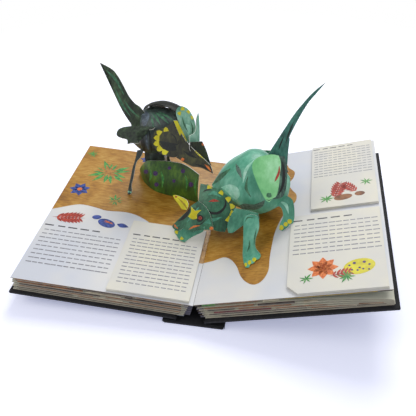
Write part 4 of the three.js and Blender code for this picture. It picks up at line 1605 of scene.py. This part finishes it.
def folded_post(node: str, half: Half, middle: Point2, size: Point2, top: float, look: Look) -> None:
    """Stand the folded post that carries a body.

    Args:
        node: The frame node that it stands in for.
        half: The half it stands on.
        middle: Its middle in plan.
        size: Its two widths.
        top: Height of its top over the table.
        look: Its finish, a dark print that stands in as painted shade under the body.
    """
    (x, y), (wide, deep) = middle, size
    ring = [(x - wide / 2, y - deep / 2), (x + wide / 2, y - deep / 2), (x + wide / 2, y + deep / 2),
            (x - wide / 2, y + deep / 2)]
    gather = Gather()
    slope = math.tan(math.radians(half.rise))
    gather.slab([Vector((a, b, top)) * MM for a, b in ring],
                [Vector((a, b, half.gutter + abs(a) * slope + 0.4)) * MM for a, b in ring])
    piece = gather.build("card_" + node, look)
    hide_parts(node)
    settle(piece, half, folds=True)


@dataclass
class Mark:
    """A printed or glued mark, drawn in the picture and laid on the card behind it."""

    card: str
    half: Half
    look: Look
    slot: str
    shapes: list[Outline]
    lift: float = 0.12
    step: float = 1.6
    fold: Fold = FLAT

    def drop(self, x: float, y: float, middle: Point2) -> tuple[Vector, Vector] | None:
        """Find the card under a point of the picture.

        Args:
            x: Pixels from the left.
            y: Pixels from the top.
            middle: Where to move to when the point misses the card.
        Returns:
            The point on the card and the card's normal, or none.
        """
        for pull in (0, 0.06, 0.12, 0.2, 0.3, 0.42, 0.55, 0.7, 0.85, 1.0):
            px, py = x + (middle[0] - x) * pull, y + (middle[1] - y) * pull
            spot, normal, _, _ = CARDS[self.card].ray_cast(VIEW.place, VIEW.ray(px, py))
            if spot is not None:
                return spot, normal if normal.dot(VIEW.back) > 0 else -normal
        return None

    def build(self, name: str) -> None:
        """Lay every shape of the mark.

        Args:
            name: The piece's name.
        """
        gathered = bmesh.new()
        for outline in self.shapes:
            middle = (sum(p[0] for p in outline) / len(outline), sum(p[1] for p in outline) / len(outline))
            flat = flat_mesh(outline, self.step)
            found = {v: self.drop(v.co.x, v.co.y, middle) for v in flat.verts}
            if any(hit is None for hit in found.values()):
                flat.free()
                LOG.warning("%s has a mark off its card", name)
                continue
            tops = {v: gathered.verts.new(hit[0] + hit[1] * self.lift * MM) for v, hit in found.items()}
            lows = {v: gathered.verts.new(hit[0] + hit[1] * 0.02 * MM) for v, hit in found.items()}
            for face in flat.faces:
                gathered.faces.new([tops[v] for v in face.verts])
                gathered.faces.new([lows[v] for v in reversed(face.verts)])
            for edge in flat.edges:
                if len(edge.link_faces) == 1:
                    a, b = edge.verts
                    gathered.faces.new([tops[a], tops[b], lows[b], lows[a]])
            flat.free()
        bmesh.ops.recalc_face_normals(gathered, faces=gathered.faces)
        mesh = bpy.data.meshes.new(name)
        gathered.to_mesh(mesh)
        gathered.free()
        mesh.materials.append(self.look.material)
        piece = bpy.data.objects.new(name, mesh)
        bpy.context.scene.collection.objects.link(piece)
        settle(piece, self.half, folds=True)


def stud(x: float, y: float, size: float, turn: float) -> Outline:
    """Draw one blunt frill stud in the picture.

    Args:
        x: Pixels from the left.
        y: Pixels from the top.
        size: Pixels across.
        turn: Degrees that the stud points to.
    Returns:
        Its outline.
    """
    a = math.radians(turn)
    shape = [(-0.5, -0.6), (0.2, -0.45), (0.6, 0.0), (0.2, 0.45), (-0.5, 0.6)]
    return [(x + size * (p * math.cos(a) - q * math.sin(a)), y + size * (p * math.sin(a) + q * math.cos(a)))
            for p, q in shape]


def stroke(points: Sequence[Point2], width: float) -> Outline:
    """Draw a tapering brush stroke along a line in the picture.

    Args:
        points: The line.
        width: Pixels across at its middle.
    Returns:
        Its outline.
    """
    left, right = [], []
    last = len(points) - 1
    for i, (x, y) in enumerate(points):
        (ax, ay), (bx, by) = points[max(i - 1, 0)], points[min(i + 1, last)]
        run = math.hypot(bx - ax, by - ay) or 1.0
        w = width / 2 * (0.15 + math.sin(math.pi * i / last))
        left.append((x - (by - ay) / run * w, y + (bx - ax) / run * w))
        right.append((x + (by - ay) / run * w, y - (bx - ax) / run * w))
    return soften(left + right[::-1], 3, 80)


@dataclass
class RearFigure:
    """The dark horned animal that stands over the left page, on its mound."""

    def cut(self) -> None:
        """Cut and stand every card."""
        BodyShell("rear_body", FRONT, REAR_RINGS, -58, 214, (Look.DARK_BODY, Look.DARK_TAIL), "dark_card",
                  "rear_body").build()
        BodyShell("rear_hump", FRONT, HUMP_RINGS, 84, 156, (Look.HUMP, Look.BARE), "dark_card",
                  rim=Look.HUMP).build()
        for node, look, slot, back in (
                ("rear_tail", Look.DARK_TAIL, "dark_card", None),
                ("rear_hind_foot", Look.DARK_TAIL, "dark_card", None),
                ("rear_fore_leg", Look.DARK_BODY, "dark_card", None),
                ("rear_far_leg", Look.DARK_BODY, "dark_card", None),
                ("rear_frill_left", Look.OLIVE, "dark_card", None),
                ("rear_face_left", Look.OLIVE, "dark_card", None),
                ("rear_trim", Look.YELLOW, "horn_card", None),
                ("rear_frill_right", Look.PALE, "pale_card", Look.BARE),
                ("rear_frill_edge", Look.PALE, "pale_card", None),
                ("rear_face_right", Look.OLIVE, "dark_card", None)):
            CardSheet(node, FRONT, look, slot, back).build()
        StandingCard("mound", FRONT, MOUND_FOOT, MOUND_HEAD, MOUND_TALL, Look.MOUND, "foliage_card").build()
        StandingCard("foliage_scrap", FRONT, SCRAP_FOOT, SCRAP_FOOT, SCRAP_TALL, Look.LEAFY_CARD,
                     "foliage_card", 0.4).build()
        # The rear post is printed dark: painted shade in the gap under the body.
        folded_post("rear_post", FRONT, (-83, 74), (25, 12), 112, Look.DARK_BODY)

    def mark(self, card: str, name: str, look: Look, shapes: list[Outline], lift: float = 0.12) -> None:
        """Lay marks on one card.

        Args:
            card: The card that carries them.
            name: The piece's name.
            look: The ink or card.
            shapes: Outlines in the picture.
            lift: Millimetres of thickness.
        """
        Mark(card, FRONT, look, "dark_card", shapes, lift).build(name)

    def build(self) -> None:
        """Build the figure and print it."""
        self.cut()
        self.mark("rear_frill_left", "rear_frill_studs_left", Look.YELLOW,
                  [stud(159, 132.6, 4.8, 215), stud(166, 129.4, 4.2, 262), stud(156.8, 138, 5.2, 182),
                   stud(156.6, 143.6, 5.2, 172), stud(159.4, 149, 5.4, 140), stud(164.6, 152.6, 5.4, 115)],
                  0.3)
        self.mark("rear_frill_right", "rear_frill_studs_right", Look.YELLOW,
                  [stud(182.6, 108.6, 3.6, 270), stud(188.8, 111.6, 3.4, 315), stud(192.6, 117.2, 3.4, 340),
                   stud(179.2, 113.4, 3.4, 190)], 0.3)
        self.mark("rear_frill_left", "rear_frill_line", Look.BLACK,
                  [stroke([(160, 141), (164, 146.6), (171, 149.6), (178, 149), (183, 145)], 2.2),
                   stroke([(170, 133), (175, 137), (177, 143)], 1.2)])
        self.mark("rear_face_left", "rear_face_lines", Look.BLACK,
                  [stroke([(184, 151), (190, 155), (197, 158)], 2.4),
                   stroke([(195, 164), (203, 166.4), (209, 170)], 1.6), circle(190.6, 152.6, 1.7, 10)])
        self.mark("rear_face_left", "rear_face_sparks", Look.ORANGE,
                  [circle(182.6, 159.4, 1.7, 9), stroke([(205, 164.6), (208.4, 167.6), (211, 171.4)], 1.8)],
                  0.2)
        self.mark("rear_face_left", "rear_face_rim", Look.YELLOW,
                  [stroke([(194.5, 150.6), (199.6, 154.9), (204, 158.8)], 1.6)], 0.2)
        self.mark("rear_face_right", "rear_face_right_sparks", Look.ORANGE, [circle(203.2, 144.2, 1.6, 9)],
                  0.2)
        self.mark("rear_frill_right", "rear_frill_right_lines", Look.HEAD_INK,
                  [stroke([(190.4, 121), (192.6, 128), (192, 135)], 1.5),
                   stroke([(182, 116), (184, 124), (188, 132)], 1.3)])
        self.mark("rear_frill_right", "rear_frill_right_shine", Look.PALE_INK,
                  [soften([(186, 124), (189.6, 125), (190.4, 131), (188.6, 136), (186.4, 131)], 3)], 0.1)
        self.mark("rear_body", "rear_rump_shine", Look.SLATE,
                  [soften([(142.4, 112.6), (146.2, 111.2), (149.4, 114.5), (148, 121), (144.6, 127.4),
                           (141.6, 122)], 3)])
        self.mark("rear_body", "rear_flank_streaks", Look.HEAD_INK,
                  [stroke([(152.4, 113), (156, 117.4), (160.5, 125)], 2.4),
                   stroke([(155, 112.4), (162, 117), (168.6, 123.6)], 2.6),
                   stroke([(151, 116), (152.6, 122), (153.4, 128)], 1.6),
                   stroke([(158, 112), (166, 115.4), (174, 121)], 2.0)])
        self.mark("rear_body", "rear_body_shadows", Look.BLACK,
                  [stroke([(141, 131), (142.6, 142), (145.4, 153)], 3.2),
                   stroke([(149.4, 131), (150.4, 141), (151.6, 152)], 2.4),
                   stroke([(137.5, 127.8), (146, 128.4), (154, 128.6)], 1.8)])
        self.mark("rear_body", "rear_body_greys", Look.SLATE,
                  [stroke([(146, 133), (147, 143), (149, 152)], 2.0),
                   stroke([(154.4, 132), (154, 141), (155.6, 150)], 1.4)])
        self.mark("mound", "mound_spots", Look.VIOLET,
                  [circle(146, 171.6, 2.2), circle(155.5, 173.4, 2.4), circle(156.5, 184.5, 2.2),
                   circle(169.5, 168, 1.8), circle(183, 171, 2.2), circle(191, 184.5, 2.4),
                   circle(174, 181, 1.7)])
        self.mark("mound", "mound_blades", Look.LEAFY,
                  [stroke([(149, 182), (151, 176), (150, 169)], 1.8),
                   stroke([(162, 188), (163, 179), (161, 171)], 2.0),
                   stroke([(186, 191), (187, 182), (185, 175)], 1.8),
                   stroke([(196, 196), (195, 186), (196.6, 177)], 1.6)])
        self.mark("rear_fore_leg", "rear_claws", Look.PALE_INK,
                  [circle(128.6, 191.6, 1.0, 8), circle(130.8, 192.2, 0.9, 8)], 0.25)
        self.mark("rear_tail", "rear_tail_streaks", Look.HEAD_INK,
                  [stroke([(106, 70), (116, 80), (124, 95)], 2.4),
                   stroke([(115, 88), (122, 104), (131, 117)], 2.0),
                   stroke([(124, 100), (131, 110), (139, 117)], 1.6)])
        LOG.info("rear figure done")


@dataclass
class FrontFigure:
    """The green horned animal across the gutter: its face on the left page, the rest on the right."""

    def cut(self) -> None:
        """Cut and stand every card."""
        BodyShell("front_body", BACK, FRONT_RINGS, -38, 214, (Look.SEA, Look.BARE), "green_card",
                  "front_body").build()
        for node, look, slot, back in (
                ("front_tail", Look.TAIL, "green_card", None),
                ("front_haunch", Look.LIGHT, "light_card", Look.BARE),
                ("front_rump", Look.RUMP, "green_card", Look.BARE),
                ("front_hind_foot", Look.SEA, "light_card", None),
                ("front_shoulder", Look.SEA_DEEP, "green_card", Look.BARE),
                ("front_fore_leg", Look.SEA, "green_card", None),
                ("front_far_leg", Look.SEA_DEEP, "green_card", None)):
            CardSheet(node, BACK, look, slot, back).build()
        CardSheet("front_frill", BACK, Look.HEAD, "head_card", Look.BARE, FRILL_FOLD, 48).build()
        for node, look, slot in (("front_face", Look.HEAD, "head_card"),
                                 ("front_jaw", Look.SEA_DEEP, "head_card"),
                                 ("front_nose_horn", Look.YELLOW, "horn_card"),
                                 ("front_brow_horn", Look.YELLOW, "horn_card")):
            CardSheet(node, FRONT, look, slot, None, FACE_FOLD, 50).build()
        # The front post is printed dark green: painted shade under the body.
        folded_post("front_post", BACK, (54, 14), (16, 12), 92, Look.SEA_DEEP)

    def mark(self, card: str, name: str, look: Look, shapes: list[Outline], lift: float = 0.12) -> None:
        """Lay marks on one card.

        Args:
            card: The card that carries them.
            name: The piece's name.
            look: The ink or card.
            shapes: Outlines in the picture.
            lift: Millimetres of thickness.
        """
        face = card in ("front_face", "front_jaw", "front_nose_horn", "front_brow_horn")
        half = FRONT if face else BACK
        fold = FACE_FOLD if face else FRILL_FOLD if card == "front_frill" else FLAT
        Mark(card, half, look, "green_card" if fold is FLAT else "head_card", shapes, lift,
             fold=fold).build(name)

    def build(self) -> None:
        """Build the figure and print it."""
        self.cut()
        self.mark("front_frill", "front_frill_studs", Look.YELLOW,
                  [stud(209.4, 186.6, 4.2, 262), stud(221.6, 192.4, 4.4, 300), stud(228.6, 199.0, 4.8, 325),
                   stud(232.6, 206.2, 5.0, 350), stud(232.6, 213.6, 5.0, 20), stud(228.8, 219.6, 5.0, 40)],
                  0.3)
        self.mark("front_frill", "front_frill_lines", Look.BLACK,
                  [stroke([(201.6, 204), (206, 210.4), (214, 213.4), (221, 211.4), (225.6, 205), (225, 198)],
                          2.4),
                   stroke([(203, 192), (206.6, 190), (212, 190)], 1.4)])
        self.mark("front_frill", "front_frill_patches", Look.RED,
                  [stroke([(209, 201.6), (214, 200.4), (219, 201.2)], 2.4)])
        self.mark("front_frill", "front_frill_glow", Look.SEA_INK,
                  [stroke([(208, 195), (214, 192.6), (221, 197)], 3.4),
                   stroke([(206, 217), (213, 220), (222, 217)], 3.0)])
        self.mark("front_face", "front_face_black", Look.BLACK,
                  [circle(199.8, 218.4, 3.7, 16, 1.0, 30), soften([(177.6, 221.6), (184, 214.6),
                                                                   (190.4, 207), (190, 211.6),
                                                                  (185, 218.8)], 3),
                   stroke([(196, 224.6), (201, 224), (206, 219)], 1.0)])
        self.mark("front_face", "front_face_red", Look.RED, [circle(200.2, 218.0, 1.7, 10)], 0.2)
        self.mark("front_face", "front_face_pupil", Look.BLACK, [circle(200.2, 218.0, 0.8, 8)], 0.28)
        self.mark("front_face", "front_face_orange", Look.ORANGE,
                  [stroke([(189, 229.4), (194, 226.6), (200, 225.6)], 1.7), circle(211.4, 228.4, 1.9, 10),
                   stroke([(178, 228.6), (175.4, 226.4), (174.6, 224.4)], 2.0)], 0.2)
        self.mark("front_face", "front_face_glow", Look.SEA_INK,
                  [stroke([(187, 222), (193, 215), (199, 207)], 3.0),
                   stroke([(203, 224), (209, 220), (211, 224)], 2.6)])
        self.mark("front_jaw", "front_jaw_teeth", Look.YELLOW,
                  [stud(176.4, 232.0, 3.2, 190), stud(181.6, 238.6, 3.0, 140)], 0.3)
        self.mark("front_nose_horn", "front_nose_horn_tip", Look.RED, [circle(176, 196.8, 1.0, 8)], 0.2)
        self.mark("front_nose_horn", "front_nose_horn_ridge", Look.OCHRE_INK,
                  [stroke([(178, 198), (184, 204), (188, 211)], 1.5)], 0.15)
        self.mark("front_fore_leg", "front_fore_claws", Look.YELLOW,
                  [circle(245.6, 265.0, 1.5, 9, 1.5, 20), circle(249.6, 262.6, 1.8, 9, 1.3, 20),
                   circle(254.4, 259.8, 2.2, 9, 1.0)], 0.3)
        self.mark("front_hind_foot", "front_hind_claws", Look.YELLOW,
                  [circle(281.2, 227.6, 2.4, 9, 1.1, 20), circle(285.6, 224.2, 2.1, 9, 1.1, 20),
                   circle(289.6, 221.4, 2.4, 9, 1.0)], 0.3)
        self.mark("front_haunch", "front_haunch_flash", Look.RED,
                  [stroke([(279.2, 166), (279.0, 172), (276.6, 178), (274.8, 181.4)], 2.2)])
        self.mark("front_haunch", "front_knee", Look.HEAD_INK,
                  [stroke([(266.4, 196.4), (267.4, 193.6), (270.6, 193.6), (271.2, 196.4), (268.8, 197.6)],
                          1.0),
                   stroke([(266, 199.4), (269, 200.4), (272, 199)], 0.9)])
        self.mark("front_body", "front_flank_bands", Look.STONE,
                  [soften([(237, 207), (244, 203.6), (254, 204.4), (265, 200), (263, 206), (256, 209.6),
                           (247, 209.4), (239, 210)], 3), stroke([(236, 164), (238.4, 170), (241.6, 178)],
                                                                 3.6)])
        self.mark("front_body", "front_flank_shade", Look.HEAD_INK,
                  [stroke([(213.5, 184), (221, 176.4), (230.6, 168.6)], 4.2),
                   stroke([(251, 197), (246, 188), (248, 176)], 2.6)])
        self.mark("front_body", "front_flank_light", Look.PALE_INK,
                  [soften([(221, 187.4), (229, 184.4), (237, 187), (240, 195), (236, 200), (230, 195),
                           (225, 190)], 3),
                   stroke([(243, 183), (246, 170), (254, 160)], 3.0)])
        self.mark("front_rump", "front_rump_stripe", Look.BLACK,
                  [stroke([(281.6, 160), (284, 172), (282.6, 186), (278, 195)], 2.6)])
        self.mark("front_fore_leg", "front_leg_lines", Look.HEAD_INK,
                  [stroke([(245, 222), (248, 217.4), (255, 218)], 1.4),
                   stroke([(256.6, 228), (254.6, 238), (254, 246)], 1.4),
                   stroke([(247, 252), (249.4, 246), (249.4, 240)], 1.6)])
        self.mark("front_hind_foot", "front_foot_light", Look.PALE_INK,
                  [stroke([(279, 201), (286, 205), (288.6, 214)], 3.0)])
        self.mark("front_tail", "front_tail_lines", Look.BLACK,
                  [stroke([(294, 121), (289.4, 132), (285.6, 143)], 1.5),
                   stroke([(278.6, 150), (281, 143), (284, 136)], 1.2)])
        LOG.info("front figure done")


# Studio

@dataclass
class Studio:
    """White sweep, soft lamps and the photograph's camera."""

    floor: float = 12.0

    def sweep(self) -> None:
        """Lay the floor, which keeps the book's bluish shadow and reads white to the camera."""
        mesh = bpy.data.meshes.new("studio_floor")
        r = self.floor / 2
        mesh.from_pydata([(-r, -r, -0.0002), (r, -r, -0.0002), (r, r, -0.0002), (-r, r, -0.0002)], [],
                         [(0, 1, 2, 3)])
        floor = bpy.data.objects.new("studio_floor", mesh)
        bpy.context.scene.collection.objects.link(floor)
        made = bpy.data.materials.new("white_sweep_paper")
        made.use_nodes = True
        tree = made.node_tree
        tree.nodes.clear()
        matte = add_node(tree, "ShaderNodeBsdfDiffuse", {"Color": rgb("#f6f6f6")}).outputs[0]
        glow = add_node(tree, "ShaderNodeEmission", {"Color": rgb("#b6bbdc"), "Strength": 0.57}).outputs[0]
        lit = add_node(tree, "ShaderNodeAddShader", {}, {0: matte, 1: glow}).outputs[0]
        place = add_node(tree, "ShaderNodeTexCoord").outputs["Object"]
        away = add_node(tree, "ShaderNodeVectorMath", {"operation": "LENGTH"}, {0: place}).outputs["Value"]
        fade = add_node(tree, "ShaderNodeMapRange", {"From Min": 0.34, "From Max": 0.8},
                        {"Value": away}).outputs[0]
        white = add_node(tree, "ShaderNodeEmission", {"Color": rgb("#ffffff"), "Strength": 1.0}).outputs[0]
        both = add_node(tree, "ShaderNodeMixShader", {}, {0: fade, 1: lit, 2: white}).outputs[0]
        rays = add_node(tree, "ShaderNodeLightPath").outputs
        seen = add_node(tree, "ShaderNodeMath", {"operation": "MAXIMUM"},
                        {0: rays["Is Camera Ray"], 1: rays["Is Glossy Ray"]}).outputs[0]
        shown = add_node(tree, "ShaderNodeMixShader", {}, {0: seen, 1: matte, 2: both}).outputs[0]
        add_node(tree, "ShaderNodeOutputMaterial", {}, {"Surface": shown})
        mesh.materials.append(made)

    def world(self) -> None:
        """Fill with an even pale sky that the camera sees as white."""
        world = bpy.data.worlds.new("studio_fill")
        bpy.context.scene.world = world
        world.use_nodes = True
        tree = world.node_tree
        tree.nodes.clear()
        fill = add_node(tree, "ShaderNodeBackground", {"Color": rgb("#eef2ff"), "Strength": 0.42}).outputs[0]
        white = add_node(tree, "ShaderNodeBackground", {"Color": rgb("#ffffff"), "Strength": 1.0}).outputs[0]
        rays = add_node(tree, "ShaderNodeLightPath").outputs
        shown = add_node(tree, "ShaderNodeMixShader", {}, {0: rays["Is Camera Ray"], 1: fill,
                                                           2: white}).outputs[0]
        add_node(tree, "ShaderNodeOutputWorld", {}, {"Surface": shown})

    def lamp(self, name: str, place: tuple[float, float, float], size: float, watts: float,
             colour: str) -> None:
        """Hang one soft lamp that faces the book.

        Args:
            name: The lamp's name.
            place: Where it hangs, in metres.
            size: Side of its square face, in metres.
            watts: Its power.
            colour: Its light, as a hex colour.
        """
        data = bpy.data.lights.new(name, "AREA")
        data.size = size
        data.energy = watts
        data.color = rgb(colour)[:3]
        lamp = bpy.data.objects.new(name, data)
        lamp.location = place
        lamp.rotation_euler = (Vector((0, 0, 0.05)) - Vector(place)).to_track_quat("-Z", "Y").to_euler()
        bpy.context.scene.collection.objects.link(lamp)

    def camera(self) -> None:
        """Set the photograph's camera."""
        data = bpy.data.cameras.new("photo_camera")
        data.sensor_width = 36
        data.lens = VIEW.focal / VIEW.frame_px * 36
        camera = bpy.data.objects.new("photo_camera", data)
        camera.location = VIEW.place
        camera.rotation_euler = (-VIEW.back).to_track_quat("-Z", "Y").to_euler()
        bpy.context.scene.collection.objects.link(camera)
        bpy.context.scene.camera = camera

    def build(self) -> None:
        """Set up the studio."""
        bpy.context.scene.view_settings.view_transform = "Standard"
        self.camera()
        self.world()
        self.sweep()
        self.lamp("back_softbox", (0.15, 1.0, 1.35), 0.9, 17, "#ffffff")
        self.lamp("front_left_softbox", (-1.1, -0.5, 1.2), 0.9, 6, "#fffaf4")
        self.lamp("front_right_softbox", (0.9, -0.9, 1.1), 1.0, 4, "#f4f7ff")


def main() -> None:
    """Build every sub-assembly in order."""
    logging.basicConfig(level=logging.INFO, format="%(message)s")
    Studio().build()
    Case().build()
    LeafBlock(FRONT, "left_leaves", LEFT_LEAVES, 3.0).build()
    LeafBlock(BACK, "right_leaves", RIGHT_LEAVES, 0.3, seed=5).build()
    GutterFold().build()
    FoldedInside(FRONT, LEFT_SLIVERS).build()
    FoldedInside(BACK, RIGHT_SLIVERS).build()
    for booklet in ("left_booklet", "upper_booklet", "lower_booklet"):
        paint_node(booklet, Look.BOOKLET)
    PrintedSpread().build()
    RearFigure().build()
    FrontFigure().build()


if __name__ == "__main__":
    main()
